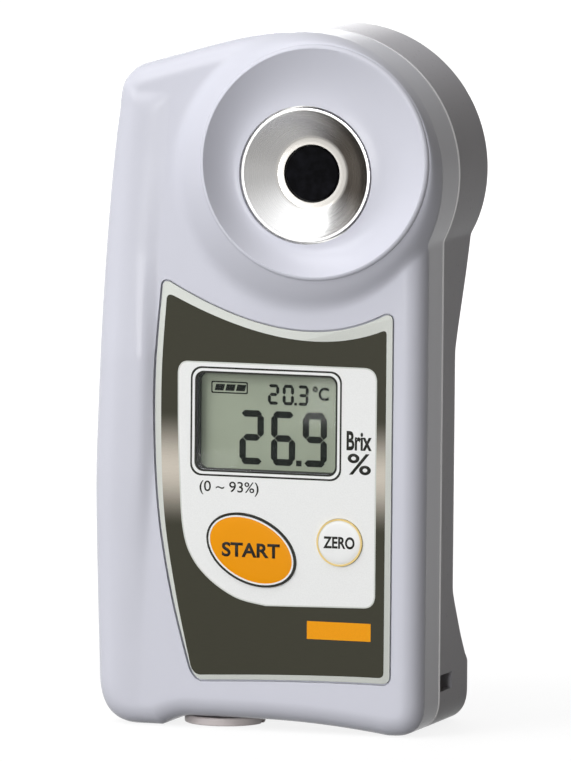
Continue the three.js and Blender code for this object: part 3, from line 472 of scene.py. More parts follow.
# Case outlines, seen from the front as (X, Z)
left_edge = [(-0.874, 0.888), (-0.902, 0.83), (-0.936, 0.73), (-0.968, 0.6), (-0.988, 0.47), (-1.0, 0.35),
             (-0.99, 0.22), (-0.972, 0.075)]
left_edge = [(x * width / 2, z * height) for x, z in left_edge]
foot_corner, foot_reach, left_flat, right_flat, arch_fall = 5.0, 1.3, 4.8, 1.0, 22.0


def case_outline():
    """The case without its round head, with the arch between the feet."""
    crown_turn = math.radians(99)
    crown = (head_x + head_radius * math.cos(crown_turn), head_z + head_radius * math.sin(crown_turn))
    shoulder = (-0.72 * width / 2, 0.949 * height)
    line = [(side_x, foot_corner), (side_x, head_z), (head_x, head_z + head_radius / 2), crown]
    pull = (crown[0] - head_radius / 5, crown[1])
    curve_to(line, pull, ((pull[0] + shoulder[0]) / 2, (pull[1] + shoulder[1]) / 2))
    line.append(shoulder)
    top, foot = left_edge[0], left_edge[-1]
    curve_to(line, (top[0], shoulder[1] - 1.2), top, steps=16)
    curve_to(line, *left_edge[1:], steps=8)
    curve_to(line, (foot[0], 0), (foot[0] + foot_corner * foot_reach, 0), steps=16)
    arch_left = -width / 2 + foot_reach * foot_corner + left_flat
    arch_right = side_x - foot_corner - right_flat
    line.append((arch_left, 0))
    curve_to(line, (arch_left + foot_corner / 2, feet_rise), (arch_left + foot_corner, feet_rise))
    line.append((arch_right - arch_fall, feet_rise))
    curve_to(line, (arch_right - arch_fall / 2, feet_rise), (arch_right, 0), steps=30)
    line.append((side_x - foot_corner, 0))
    curve_to(line, (side_x, 0), (side_x, foot_corner), steps=16)
    return line[:-1]


def reach_of(outline, centre, turns):
    """Distance from a centre to a closed outline along each direction, for one seen whole from there."""
    p = np.array(outline) - centre
    angle = np.unwrap(np.arctan2(p[:, 1], p[:, 0]))
    order = np.argsort(angle % TURN)
    p, angle = p[order], (angle % TURN)[order]
    p = np.vstack([p[-1], p, p[0]])
    angle = np.concatenate([[angle[-1] - TURN], angle, [angle[0] + TURN]])
    k = np.clip(np.searchsorted(angle, turns % TURN, side="right") - 1, 0, len(angle) - 2)
    a, b = p[k], p[k + 1]
    ray = np.stack([np.cos(turns), np.sin(turns)], 1)
    ab = b - a
    across = ray[:, 0] * ab[:, 1] - ray[:, 1] * ab[:, 0]
    return (a[:, 0] * ab[:, 1] - a[:, 1] * ab[:, 0]) / np.where(np.abs(across) < 1e-9, 1e-9, across)


case_line = case_outline()


def whole_reach(centre, turns):
    """Reach of the case and its round head together, with the hollow between them eased a little."""
    case = reach_of(case_line, centre, turns)
    circle = oval(head_x, head_z, head_radius, head_radius, sides=360)
    inside = (centre[0] - head_x) ** 2 + (centre[1] - head_z) ** 2 < head_radius ** 2
    if inside:
        return smooth_max(case, reach_of(circle, centre, turns), joint_soft)
    offset = np.array([head_x, head_z]) - centre
    ray = np.stack([np.cos(turns), np.sin(turns)], 1)
    along = ray @ offset
    gap = head_radius ** 2 - (offset @ offset - along ** 2)
    far = np.where((gap > 0) & (along > 0), along + np.sqrt(np.clip(gap, 0, None)), 0)
    return np.where(far > 0, smooth_max(case, far, joint_soft), case)


def rays(centre, count):
    """Directions from a centre that part the whole outline into equal lengths."""
    fine = np.linspace(0, TURN, 24001)
    r = whole_reach(centre, fine)
    line = np.stack([r * np.cos(fine), r * np.sin(fine)], 1)
    run = np.concatenate([[0], np.cumsum(np.linalg.norm(np.diff(line, axis=0), axis=1))])
    return np.interp(np.linspace(0, run[-1], count, endpoint=False), run, fine)


def inner_line(centre, amount):
    """The whole outline moved in, as a list of points, and cut off level above the case's floor."""
    turns = rays(centre, 240)
    r = whole_reach(centre, turns)
    ray = np.stack([np.cos(turns), np.sin(turns)], 1)
    slope = np.gradient(np.concatenate([r[-2:], r, r[:2]]))[2:-2] / np.gradient(np.unwrap(turns))
    inside = r - amount * np.sqrt(1 + np.clip(np.abs(slope) / r, 0, 1.6) ** 2)
    points = np.array(centre) + inside[:, None] * ray
    low = points[:, 1] < floor_z
    scale = (floor_z - centre[1]) / np.where(low, ray[:, 1], -1)
    points[low] = (np.array(centre) + scale[:, None] * ray)[low]
    return [tuple(p) for p in points]


# Front shell: a height over every place of the outline, with the well's dish and boss, the ridge and the edge

def lean(share, radius, turns):
    """How far back the crest's lean puts a ring's points; the stage's ring (share 1) stands square."""
    along = radius * np.cos(turns - rim_fall_turn) / (rim_radius - rim_crest)
    return rim_fall * (1 - share) * (1 + along) / 2


def ring_circle(share, radius, turns, end=(head_x, head_z)):
    """A circle between another centre's (share 1) and the rim's (share 0)."""
    x = end[0] + (head_x + rim_shift_x - end[0]) * (1 - share) + radius * np.cos(turns)
    z = end[1] + (head_z + rim_shift_z - end[1]) * (1 - share) + radius * np.sin(turns)
    return np.stack([x, z], 1)


boss_base_y = label_y + wall


def boss_height(p):
    """Front face of the boss outside its rim, found from which eccentric circle a place lies on."""
    low, high = np.zeros(len(p)), np.full(len(p), 4.0)
    for _ in range(40):
        mid = (low + high) / 2
        radius = rim_radius + (head_radius - rim_radius) * mid
        cx = head_x + rim_shift_x * (1 - mid)
        cz = head_z + rim_shift_z * (1 - mid)
        out = np.hypot(p[:, 0] - cx, p[:, 1] - cz) > radius
        low, high = np.where(out, mid, low), np.where(out, high, mid)
    radius = rim_radius + (head_radius - rim_radius) * low
    turns = np.arctan2(p[:, 1] - head_z - rim_shift_z * (1 - low), p[:, 0] - head_x - rim_shift_x * (1 - low))
    crest_y = -depth / 2 + rim_crest + lean(low, radius, turns)
    bulge = 0.35 * np.sin(np.clip(low, 0, 1) * math.pi)  # the flank is a little round
    return crest_y + (boss_base_y - crest_y) * low - bulge


ridge_foot_z = np.array([0, 8, 43, 60, 76, 90, 99, 110])
ridge_foot_x = np.array([-19.9, -19.6, -18.6, -18.3, -17.6, -16.5, -15.8, -15.0])
ridge_fade_z = np.array([0, 12, 26, 40, 58, 74, 90, 110])
ridge_fade_share = np.array([0.2, 0.25, 0.5, 0.85, 1, 0.6, 0.45, 0.4])
ridge_inner = np.array([7.0, 7.0, 5.0, 3.6, 3.6, 6.0, 7.0, 7.0])  # how wide its inner rounding is


def front_height(p):
    """Front face of the case: flat face, rounded edge, ridge along the left side and the boss."""
    edge = distance_to(p, case_line)
    in_case = reach_of(case_line, (head_x, head_z), np.arctan2(p[:, 1] - head_z, p[:, 0] - head_x))
    inside = np.hypot(p[:, 0] - head_x, p[:, 1] - head_z) <= in_case + 1e-4
    edge = np.where(inside, edge, 0)
    face = label_y + rounding(edge, front_round)
    foot = np.interp(p[:, 1], ridge_foot_z, ridge_foot_x)
    from_foot = foot - p[:, 0] + 0.9
    top = 0.925 * height - 0.05 * (p[:, 0] + 20)  # the ridge ends here, a little lower to the right
    ends = np.minimum(edge, np.clip(top - p[:, 1], 0, None))
    proud = ridge_proud * np.interp(p[:, 1], ridge_fade_z, ridge_fade_share)
    reach = np.interp(p[:, 1], ridge_fade_z, ridge_inner)
    crest = label_y - proud
    outer_round = 5.4
    outer = crest + rounding(ends, outer_round) * (front_round + proud) / outer_round
    inner = crest + rounding(np.clip(from_foot, 0, None), reach) * (proud + 1.5) / reach
    ridge = np.where(from_foot > 0, smooth_max(outer, inner, 0.5), label_y + front_round)
    both = smooth_min(face, ridge, 0.7)
    boss = np.where(p[:, 1] > head_z - 40, boss_height(p), label_y + front_round)
    return smooth_min(both, boss, 1.1)


wall_line, lip_deep = 0.15, 0.25  # lines that keep the walls' shading straight; bevel along the joint


def ringed(name, rings, materials):
    """A closed skin over rings of (X, Z) places, each with its own Y values."""
    n = len(rings[0][1])
    points = [(x, y, z) for p, ys in rings for (x, z), y in zip(p, ys)]
    return piece(name, points, wall_faces(len(rings), n) + end_faces(len(rings), n), materials)


def front_shell_solid():
    centre = (head_x, head_z)
    turns = rays(centre, skin_rays[0])
    n = len(turns)
    rings = []
    dish_steps = 18
    for i in range(dish_steps + 1):  # from the stage up to the crest
        share = 1 - i / dish_steps
        radius = rim_radius - rim_crest + (stage_radius + fit - rim_radius + rim_crest) * share
        y = -depth / 2 + stage_depth * math.sin(share * math.pi / 2)
        rings.append((ring_circle(share, radius, turns, (stage_x, stage_z)), y + lean(share, radius, turns)))
    crest_steps = 6
    for i in range(1, crest_steps + 1):
        a = math.pi / 2 * i / crest_steps
        radius = rim_radius - rim_crest * (1 - math.sin(a))
        y = -depth / 2 + rim_crest * (1 - math.cos(a))
        rings.append((ring_circle(0, radius, turns), y + lean(0, radius, turns)))
    flank_steps = 12
    for i in range(1, flank_steps + 1):
        share = i / flank_steps
        p = ring_circle(share, rim_radius + (head_radius - rim_radius) * share, turns)
        rings.append((p, front_height(p)))
    base = rings[-1][0]
    r = whole_reach(centre, turns)
    edge = np.stack([head_x + r * np.cos(turns), head_z + r * np.sin(turns)], 1)
    length = np.linalg.norm(edge - base, axis=1)
    band = np.minimum(length, 8.0)
    inner_steps, edge_steps = 34, 24
    for i in range(1, inner_steps + edge_steps + 1):
        if i <= inner_steps:
            at = (length - band) * i / inner_steps
        else:
            at = length - band * (1 - ((i - inner_steps) / edge_steps)) ** 1.5
        t = np.where(length > 1e-6, at / np.maximum(length, 1e-6), 1)
        p = base + (edge - base) * t[:, None]
        rings.append((p, front_height(p)))
    rings.append((edge, front_height(edge) + wall_line))
    rings.append((edge, np.full(n, seam_y - fit / 2 - lip_deep - wall_line)))
    rings.append((edge, np.full(n, seam_y - fit / 2 - lip_deep)))
    lip = edge + (np.array(centre) - edge) / np.linalg.norm(edge - centre, axis=1)[:, None] * 0.2
    rings.append((lip, np.full(n, seam_y - fit / 2)))
    return clean(ringed("front_shell", rings, [shell_front]), gap=0.004)


# Rear shell: waist, head hump and foot hump in one height over the outline

hump_z = np.array([-5, 8.4, 10.2, 14, 19.5, 27, 52, 62.5, 71, 76.4, 79.6, 82, 84, 120])
hump_out = np.array([27.6, 27.6, 24.5, 21.6, 18.2, 14.3, 14.3, 18.6, 22.6, 24.8, 25.6, 26, 26.6, 26.6])


def rear_height(p, edge):
    waist = waist_y - rounding(edge, waist_round)
    full = rear_y - rounding(edge, rear_round)
    slope = sum(np.interp(p[:, 1] + shift, hump_z, hump_out) for shift in (-0.8, -0.4, 0, 0.4, 0.8)) / 5
    hump = smooth_min(full, label_y + slope, 0.5)
    return np.minimum(smooth_max(waist, hump, 0.8), rear_y)


rear_centre = np.array((2.0, 52.0))


def rear_rays():
    """Directions from the rear shell's centre, their unit vectors and the outline's reach along them."""
    turns = rays(rear_centre, skin_rays[1])
    return turns, np.stack([np.cos(turns), np.sin(turns)], 1), whole_reach(rear_centre, turns)


def rear_shell_solid(name="rear_shell"):
    """The rear case's outer form as a solid, from its faces at the back round to the joint."""
    turns, ray, r = rear_rays()
    n = len(turns)
    edge = rear_centre + r[:, None] * ray
    band = 7.0
    inner_steps, edge_steps = 54, 24
    rings = []
    for i in range(1, inner_steps + edge_steps + 1):
        if i <= inner_steps:
            at = (r - band) * i / inner_steps
        else:
            at = r - band * (1 - (i - inner_steps) / edge_steps) ** 1.5
        p = rear_centre + at[:, None] * ray
        rings.append((p, rear_height(p, distance_to(p, edge))))
    rings.append((edge, rear_height(edge, np.zeros(n)) - wall_line))
    rings.append((edge, np.full(n, seam_y + fit / 2 + lip_deep + wall_line)))
    rings.append((edge, np.full(n, seam_y + fit / 2 + lip_deep)))
    lip = rear_centre + (r - 0.2)[:, None] * ray
    rings.append((lip, np.full(n, seam_y + fit / 2)))
    shell = ringed(name, rings, [shell_rear, seam_painted_highlight])
    last = (len(rings) - 1) * n
    for face in shell.data.polygons[last - n:last]:  # the bevel along the joint, which gets the pale glowing painted highlight
        face.material_index = 1
    return clean(shell, gap=0.004)


# Label, window and keys, seen from the front as (X, Z)

def label_outline(by=0.0):
    right, top, bottom, corner = 20.9, 66.2, 7.7, 1.2
    lift = 0.7  # the bottom edge rises to the right
    left = [(-0.797, 1.042), (-0.844, 0.846), (-0.84, 0.65), (-0.797, 0.483), (-0.698, 0.31), (-0.571, 0.159)]
    left = [(x * 21.0, z * top) for x, z in left]
    first, last = left[0], left[-1]
    line = [(right, bottom + lift + corner), (right, top - corner)]
    curve_to(line, (right, top), (right - corner, top - fit), steps=6)
    curve_to(line, (5.5, 58.3), (first[0] + corner, first[1] + 3 * fit), steps=30)
    curve_to(line, (first[0], first[1] + corner), first, steps=6)
    curve_to(line, *left[1:], steps=8)
    curve_to(line, (last[0] + 0.8, bottom), (last[0] + 2.4, bottom), steps=8)
    curve_to(line, (right / 3, bottom + 1.2 * lift), (right - corner, bottom + lift), steps=12)
    curve_to(line, (right, bottom + lift), (right, bottom + lift + corner), steps=6)
    return grown(line[:-1], by) if by else line[:-1]


def window_outline(by=0.0):
    return round_box(window_x, window_z, window_wide + 2 * by, window_high + 2 * by, window_corner + by / 2)


def start_outline(by=0.0):
    return oval(start_x, start_z, start_long + by, start_short + by, start_tilt)


def zero_outline(by=0.0):
    return oval(zero_x, zero_z, zero_radius + by, zero_radius + by)


def well_cutter():
    """Room for the coin lock's head."""
    radius = coin_radius + fit
    return turned("well", [(radius, -1), (radius, feet_rise)], "Z", (coin_x, coin_y, 0), 64)


def lip_cutter(by):
    """The lip of the battery lid that the coin lock holds, smaller by an amount."""
    return box_piece("lip", coin_x - 6.5 + by, coin_x + 6.5 - by, coin_y - 0.7 * coin_radius + by, waist_y,
                     feet_rise - 1, floor_z - max(by, 0))


def make_front_shell():
    """The front case: its solid with the inside, the bore, the label's recess and the openings cut out."""
    shell = front_shell_solid()
    cut(shell, prism_y("hollow", inner_line((head_x, head_z), wall), boss_base_y, seam_y + 1))
    bore = [(stage_radius + fit, -12), (stage_radius + fit, -5)]
    cut(shell, turned("bore", bore, "Y", (stage_x, 0, stage_z)))
    cut(shell, prism_y("recess", label_outline(fit), in_front, label_y + 0.9))
    for opening in (window_outline(-0.55), start_outline(0.6), zero_outline(0.6)):
        cut(shell, prism_y("hole", opening, in_front, -5))
    cut(shell, well_cutter())
    cut(shell, lip_cutter(-fit))
    return crisp(shell, 32)


def lid_field(by=0.0):
    return round_box(bay_x, (lid_top - 4) / 2, lid_wide - 2 * by, lid_top + 4 - 2 * by, 2.0)


case_screw_places = [(side_x - 5.2, 22), (side_x - 5.2, 64), (-17.5, 93), (head_x + 11.5, head_z + 13.1)]


def make_rear_shell():
    """The rear case: its solid with the inside, battery opening, strap hole and screw seats cut out."""
    shell = rear_shell_solid()
    cut(shell, prism_y("hollow", inner_line(rear_centre, wall + 0.8), seam_y - 1, waist_y - wall))
    head = oval(head_x, head_z, head_radius - wall - 0.5, head_radius - wall - 0.5)
    cut(shell, prism_y("room", [(x, z) for x, z in head if z > head_z - 2 * wall], seam_y - 1, rear_y - wall))
    foot = [(seam_y - 1, floor_z), (rear_y - wall, floor_z), (rear_y - wall, 7.6), (waist_y - wall, 15),
            (seam_y - 1, 15)]
    cut(shell, prism_x("room", foot, -width / 2 + foot_corner, side_x - foot_corner))
    field = prism_y("field", lid_field(-fit), seam_y, rear_y + 1)
    cut(field, box_piece("low", -far, far, -1, waist_y - lid_lap - fit, -5, floor_z))
    cut(shell, field)
    cut(shell, well_cutter())
    cut(shell, lip_cutter(-fit))
    strap = [(seam_y + 0.6, 6.1), (seam_y + 6.6, 6.1), (seam_y + 6.6, 8.7), (seam_y + 0.6, 8.7)]
    cut(shell, prism_x("strap", strap, side_x - wall - 3.4, side_x + 1))
    for x, z in case_screw_places:
        cut(shell, turned("seat", [(2.2, waist_y - seat_sunk), (2.2, 20)], "Y", (x, 0, z), 48))
    return crisp(shell, 32)


def make_lid():
    """The battery lid: the part of the rear case's solid in its opening, hollowed, with a lip."""
    lid = rear_shell_solid("battery_lid_skin")
    field = prism_y("field", lid_field(), waist_y - lid_lap, rear_y + 1)
    cut(lid, field, "INTERSECT")
    inside = [(seam_y, floor_z), (13.9, floor_z), (13.9, 7.44), (11.6, 9.63), (9.1, 13.2), (7.3, 18.05),
              (7.3, 105), (seam_y, 105)]
    cut(lid, prism_x("inside", inside, -far, far))
    lip = lip_cutter(0)
    cut(lip, box_piece("low", -far, far, -far, far, -3, feet_rise))
    cut(lip, box_piece("notch", coin_x - 2.3, coin_x + 2.3, in_front, coin_y, -3, 6))
    cut(lip, turned("round", [(2.3, -3), (2.3, 6)], "Z", (coin_x, coin_y, 0), 48))
    cut(lid, lip, "UNION")
    cut(lid, well_cutter())
    crisp(lid, 32)
    return lid


def keep(obj, body="root", nodes=()):
    """Ties a finished piece to its body and the nodes that it stands for."""
    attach(obj, body)
    if nodes:
        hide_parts(*nodes)
    return obj


keep(make_front_shell(), nodes=["front_case"])
keep(make_rear_shell(), nodes=["rear_case"])


def ring_piece(name, outer, inner, y0, y1, tone):
    """A flat band between two outlines of as many points."""
    n = len(outer)
    points = [(x, y0, z) for x, z in outer] + [(x, y0, z) for x, z in inner]
    points += [(x, y1, z) for x, z in outer] + [(x, y1, z) for x, z in inner]
    faces = []
    for i in range(n):
        j = (i + 1) % n
        faces += [(i, j, n + j, n + i), (2 * n + i, 3 * n + i, 3 * n + j, 2 * n + j),
                  (i, 2 * n + i, 2 * n + j, j), (n + i, n + j, 3 * n + j, 3 * n + i)]
    return clean(piece(name, points, faces, [tone]), sharp=30)


def joint_painted_highlight():
    """A pale, faintly glowing strip in the joint, all the way round: a painted highlight along the seam."""
    _, ray, r = rear_rays()
    outer, inner = (rear_centre + (r - by)[:, None] * ray for by in (0.12, 0.5))
    strip = ring_piece("joint_painted_highlight", outer, inner, seam_y - fit / 2 + 0.06, seam_y + fit / 2, seam_painted_highlight)
    cut(strip, well_cutter())
    cut(strip, lip_cutter(-fit))
    return crisp(strip, 32)


keep(joint_painted_highlight())
keep(make_lid(), "battery_lid", ["battery_lid"])


# Printed and film materials

def label_print(name, tone, roughness, streak=0.0, **values):
    """Ink or film on the label: a fine screen-print mottle, with a faint brushed streak on the film."""
    made, n, shader = material(name, colour(tone), **values)
    speck = n.noise(n.place(), 5.0, 3.0, 0.6)
    shade = n.spread(speck, 0.96, 1.03)
    if streak:
        lines = n.noise(n.place(scale=(0.6, 1, 14)), 1.0, 3.0, 0.7)
        shade = n.sums("MULTIPLY", shade, n.spread(lines, 1 - streak, 1 + streak))
    dress(n, shader, colour(tone), shade, speck, (roughness - 0.04, roughness + 0.06), (0.3, 0.003))
    return made


def olive_ink_and_painted_sheen():
    """The dark metallic panel, which goes from olive ink to a pale painted sheen of the metallic film and
    back along its height.
    """
    made, n, shader = material("label_olive_metal", colour("45412f"), Specular_IOR_Level=0.15)
    ramp = n.add("ShaderNodeValToRGB", {"Fac": n.between(n.axis("Z"), 8.0, 70.0)})
    ramp.color_ramp.interpolation = "EASE"
    stops = ramp.color_ramp.elements
    # olive is the ink; pale is the painted sheen of the metallic film
    olive, pale = colour("343327"), colour("c9c1b4")
    stops[0].color = stops[1].color = olive
    for at, tone in ((0.38, olive), (0.53, pale), (0.675, olive)):
        stops.new(at).color = tone
    lines = n.noise(n.place(scale=(0.4, 1, 22)), 1.0, 3.0, 0.7)
    speck = n.noise(n.place(), 6.0, 2.0, 0.6)
    shade = n.sums("MULTIPLY", n.spread(lines, 0.93, 1.07), n.spread(speck, 0.97, 1.03))
    dress(n, shader, ramp.outputs[0], shade, lines, (0.34, 0.46), (0.2, 0.002))
    return made


border_film = label_print("label_border_film", "cdd0ca", 0.4, streak=0.02, Specular_IOR_Level=0.3)
white_ink = label_print("label_white_ink", "e8e9e8", 0.4, Specular_IOR_Level=0.3)
black_ink = label_print("label_black_ink", "1c1d17", 0.45, Specular_IOR_Level=0.2)
orange_ink = label_print("label_orange_ink", "ee9c10", 0.42, Specular_IOR_Level=0.1)
gold_ink = label_print("label_gold_ink", "e4c880", 0.35)
olive_panel = olive_ink_and_painted_sheen()
film_step = 0.02  # thickness of each printed layer that stands on the film


def pierced(sheet, holes):
    for hole in holes:
        cut(sheet, prism_y("hole", hole, in_front, 0))
    return sheet


def sheet_piece(name, outline, level, tone, holes=()):
    """A printed layer in front of the label's face, with holes cut through it."""
    sheet = prism_y(name, outline, label_front_y - level * film_step, label_front_y - (level - 1) * film_step)
    sheet.data.materials.append(tone)
    return crisp(pierced(sheet, holes))


def text_piece(name, words, box, y, tone, bold=0.0):
    """Lettering fitted into a box (x0, x1, z0, z1) on a plane that faces the front."""
    curve = bpy.data.curves.new(name, "FONT")
    curve.body = words
    curve.offset = bold
    curve.resolution_u = 6
    made = placed(name, curve)
    bpy.context.view_layer.update()
    mesh = bpy.data.meshes.new_from_object(made.evaluated_get(bpy.context.evaluated_depsgraph_get()))
    bpy.data.objects.remove(made)
    flat = np.array([v.co[:2] for v in mesh.vertices])
    low, high = flat.min(0), flat.max(0)
    x0, x1, z0, z1 = box
    bm = bmesh.new()
    bm.from_mesh(mesh)
    bmesh.ops.remove_doubles(bm, verts=bm.verts, dist=1e-5)
    for v in bm.verts:
        u = (v.co.x - low[0]) / (high[0] - low[0])
        w = (v.co.y - low[1]) / (high[1] - low[1])
        v.co = Vector(((x0 + (x1 - x0) * u) * mm, y * mm, (z0 + (z1 - z0) * w) * mm))
    grown_faces = bmesh.ops.extrude_face_region(bm, geom=list(bm.faces))["geom"]
    for v in grown_faces:
        if isinstance(v, bmesh.types.BMVert):
            v.co.y -= film_step * mm
    bmesh.ops.recalc_face_normals(bm, faces=bm.faces)
    bm.to_mesh(mesh)
    bm.free()
    mesh.materials.clear()
    mesh.materials.append(tone)
    mesh.name = name
    return placed(name, mesh)


def dark_panel_outline():
    line = [(19.95, 10.2), (19.95, 62.9)]
    curve_to(line, (19.9, 63.7), (19.2, 63.4), steps=6)
    curve_to(line, (5.6, 57.9), (-14.8, 67.7), steps=30)
    curve_to(line, (-15.9, 68.2), (-16.05, 67.2), steps=6)
    curve_to(line, (-16.75, 56), (-16.7, 43), (-16.0, 32), (-14.05, 20.5), (-11.7, 10.0), steps=8)
    curve_to(line, (-11.3, 8.5), (-10.0, 8.45), steps=8)
    curve_to(line, (7.0, 9.35), (19.1, 9.3), steps=12)
    curve_to(line, (19.95, 9.3), (19.95, 10.2), steps=6)
    return line[:-1]


def white_panel_outline(by=0.0):
    line = [(18.25, 22.1), (18.25, 55.6)]
    curve_to(line, (18.15, 57.3), (16.45, 57.4), steps=10)
    line.append((-12.6, 57.4))
    curve_to(line, (-13.85, 57.3), (-13.9, 55.6), steps=10)
    curve_to(line, (-13.8, 47), (-13.5, 38.9), (-12.95, 31.6), (-11.6, 27.3), (-8.7, 23.8), (-4.2, 21.0),
             (0.6, 19.95), steps=8)
    line.append((16.7, 20.3))
    curve_to(line, (18.2, 20.4), (18.25, 22.1), steps=10)
    return grown(line[:-1], by) if by else line[:-1]


openings = [start_outline(0.08), zero_outline(0.08), window_outline(fit)]
film = prism_y("keypad_film", label_outline(), label_front_y, label_front_y + label_thick)
film.data.materials.append(border_film)
pierced(film, openings)
bevelled(film, 0.06, limit_method="ANGLE")
crisp(film)
keep(film, nodes=["keypad_label"])
keep(sheet_piece("label_olive_panel", dark_panel_outline(), 1, olive_panel, openings))
keep(ring_piece("label_panel_line", white_panel_outline(0.22), white_panel_outline(-0.3),
                label_front_y - 1.6 * film_step, label_front_y, border_film))
keep(sheet_piece("label_white_panel", white_panel_outline(), 2, white_ink, openings))
print_y = label_front_y - 2 * film_step

window_lines = [("window_line_outer", 0.36, 0.07, black_ink), ("window_band", 0.07, -0.33, white_ink),
                ("window_line_inner", -0.33, -0.62, black_ink)]
for name, outer, inner, tone in window_lines:
    y0, y1 = label_front_y - 2.6 * film_step, label_front_y - 0.4 * film_step
    keep(ring_piece(name, window_outline(outer), window_outline(inner), y0, y1, tone))

words = [("print_brix", "Brix", (13.6, 17.7, 44.7, 47.7), 0.03),
         ("print_percent", "%", (13.8, 17.6, 40.9, 44.2), 0.012),
         ("print_range", "(0 ~ 93%)", (-10.4, -0.7, 36.8, 39.0), 0.006)]
for name, text, box, bold in words:
    keep(text_piece(name, text, box, print_y, black_ink, bold))
bar = sheet_piece("print_orange_bar", [(7.4, 14.9), (17.8, 14.9), (17.8, 17.7), (7.4, 17.7)], 2, orange_ink)
keep(bar)


# Display

def lcd_material():
    """Grey-green reflector of the display: a fine mottle, and shadow along its left and top edges."""
    tone = colour("a7b09c")
    made, n, shader = material("display_reflector", tone, Roughness=0.5, Specular_IOR_Level=0.2)
    speck = n.noise(n.place(), 9.0, 2.0, 0.6)
    broad = n.noise(n.place(), 0.1, 2.0)
    shade = n.sums("MULTIPLY", n.spread(speck, 0.97, 1.03), n.spread(broad, 0.96, 1.04))
    left = n.between(n.axis("X"), window_x - 11.9, window_x - 10.2, 0.3, 1.0)
    top = n.between(n.axis("Z"), window_z + 6.9, window_z + 7.5, 1.0, 0.55)
    shade = n.sums("MULTIPLY", shade, n.sums("MULTIPLY", left, top))
    n.join(n.shaded(tone, shade), shader.inputs["Base Color"])
    n.join(n.bump(speck, 0.15, 0.002), shader.inputs["Normal"])
    return made


lcd_face = lcd_material()
lcd_dark = label_print("display_segment", "0b0e0a", 0.5, Specular_IOR_Level=0.05)
display_y = -8.9
panel = prism_y("display_glass", round_box(window_x, window_z, 26, 18.4, 0.5), display_y, display_y + 1.5)
panel.data.materials.append(lcd_face)
bevelled(panel, 0.12)
keep(crisp(panel), nodes=["display_panel"])


def new_tree(name, sizes):
    """A Geometry Nodes tree with an input for each named size and one for the finish."""
    tree = bpy.data.node_groups.new(name, "GeometryNodeTree")
    tree.interface.new_socket("Geometry", in_out="INPUT", socket_type="NodeSocketGeometry")
    for title in sizes:
        tree.interface.new_socket(title, in_out="INPUT", socket_type="NodeSocketFloat")
    tree.interface.new_socket("Finish", in_out="INPUT", socket_type="NodeSocketMaterial")
    tree.interface.new_socket("Geometry", in_out="OUTPUT", socket_type="NodeSocketGeometry")
    n = Nodes(tree)
    return tree, n, n.entry.outputs


def end_tree(n, shape, **values):
    """Puts a shape on every point, makes it real, gives it the tree's finish and ends the tree."""
    spread = n.add("GeometryNodeInstanceOnPoints", {"Points": n.entry.outputs["Geometry"], "Instance": shape,
                                                    **values})
    real = n.add("GeometryNodeRealizeInstances", {0: spread.outputs[0]})
    done = n.add("GeometryNodeSetMaterial", {"Geometry": real.outputs[0],
                                             "Material": n.entry.outputs["Finish"]})
    n.join(done.outputs[0], n.exit.inputs[0])


def own_value(n, title):
    """A point's own value of a name."""
    return n.add("GeometryNodeInputNamedAttribute", {"Name": title}, data_type="FLOAT").outputs[0]


def worked_points(name, tree, points, own, values):
    """The mesh that a tree makes from points in millimetres with their own values and its inputs set."""
    mesh = bpy.data.meshes.new(name)
    mesh.from_pydata([(x * mm, y * mm, z * mm) for x, y, z in points], [], [])
    for title, numbers in own.items():
        mesh.attributes.new(title, "FLOAT", "POINT").data.foreach_set("value", numbers)
    obj = placed(name, mesh)
    step = obj.modifiers.new(tree.name, "NODES")
    step.node_group = tree
    for item in tree.interface.items_tree:
        if item.item_type == "SOCKET" and item.in_out == "INPUT" and item.name in values:
            step[item.identifier] = values[item.name]
    return flat_mesh(obj)


def segment_tree():
    """A tree that puts a display segment on every point, turned and stretched by the point's own values."""
    tree, n, value = new_tree("display_segments", ["Thickness"])
    bar_shape = n.add("GeometryNodeMeshCube", {"Size": (1.0, 1.0, 1.0)}).outputs["Mesh"]
    size = n.add("ShaderNodeCombineXYZ", {"X": own_value(n, "long"), "Y": value["Thickness"],
                                          "Z": own_value(n, "wide")})
    angle = n.add("ShaderNodeCombineXYZ", {"Y": own_value(n, "turn")})
    end_tree(n, bar_shape, Rotation=angle.outputs[0], Scale=size.outputs[0])
    return tree


segment_nodes = segment_tree()
segment_gap = 0.1
segment_places = {"a": (0, 1, 0), "b": (0.5, 0.5, 1), "c": (0.5, -0.5, 1), "d": (0, -1, 0),
                  "e": (-0.5, -0.5, 1), "f": (-0.5, 0.5, 1), "g": (0, 0, 0)}
segment_sets = {"0": "abcdef", "2": "abged", "3": "abgcd", "6": "afgedc", "9": "abcdfg"}


def reading(name, digits, box, stroke):
    """Seven-segment figures that fill a box (x0, x1, z0, z1), with a point after the second one."""
    x0, x1, z0, z1 = box
    wide = (x1 - x0) / (len(digits) * 1.24)
    half = (z1 - z0 - stroke) / 2
    points, turns, longs, wides = [], [], [], []

    def bar(x, z, turn, long, high):
        points.append((x, display_y - film_step, z))
        turns.append(turn)
        longs.append(long * mm)
        wides.append(high * mm)

    for i, digit in enumerate(digits):
        cx = x0 + wide * (0.5 + 1.3 * i)
        for part in segment_sets[digit]:
            u, v, upright = segment_places[part]
            x, z = cx + u * (wide - stroke), (z0 + z1) / 2 + v * half
            long = (half if upright else wide - stroke) - segment_gap - stroke
            long += stroke / 2 if part in "ad" else 0
            bar(x, z, math.pi / 2 if upright else 0.0, long, stroke)
            for end in (-long / 2, long / 2):  # a small square on its corner makes each pointed end
                tip = (x, z + end) if upright else (x + end, z)
                bar(*tip, math.pi / 4, stroke / math.sqrt(2), stroke / math.sqrt(2))
        if i == 1:
            bar(cx + wide * 0.65, z0 + stroke * 0.45, 0.0, stroke * 0.85, stroke * 0.85)
    return worked_points(name, segment_nodes, points, {"turn": turns, "long": longs, "wide": wides},
                         {"Thickness": film_step * mm, "Finish": lcd_dark})


seen_x, seen_z = -0.7, -0.22  # the display lies deeper than the label, so it is placed for its own depth


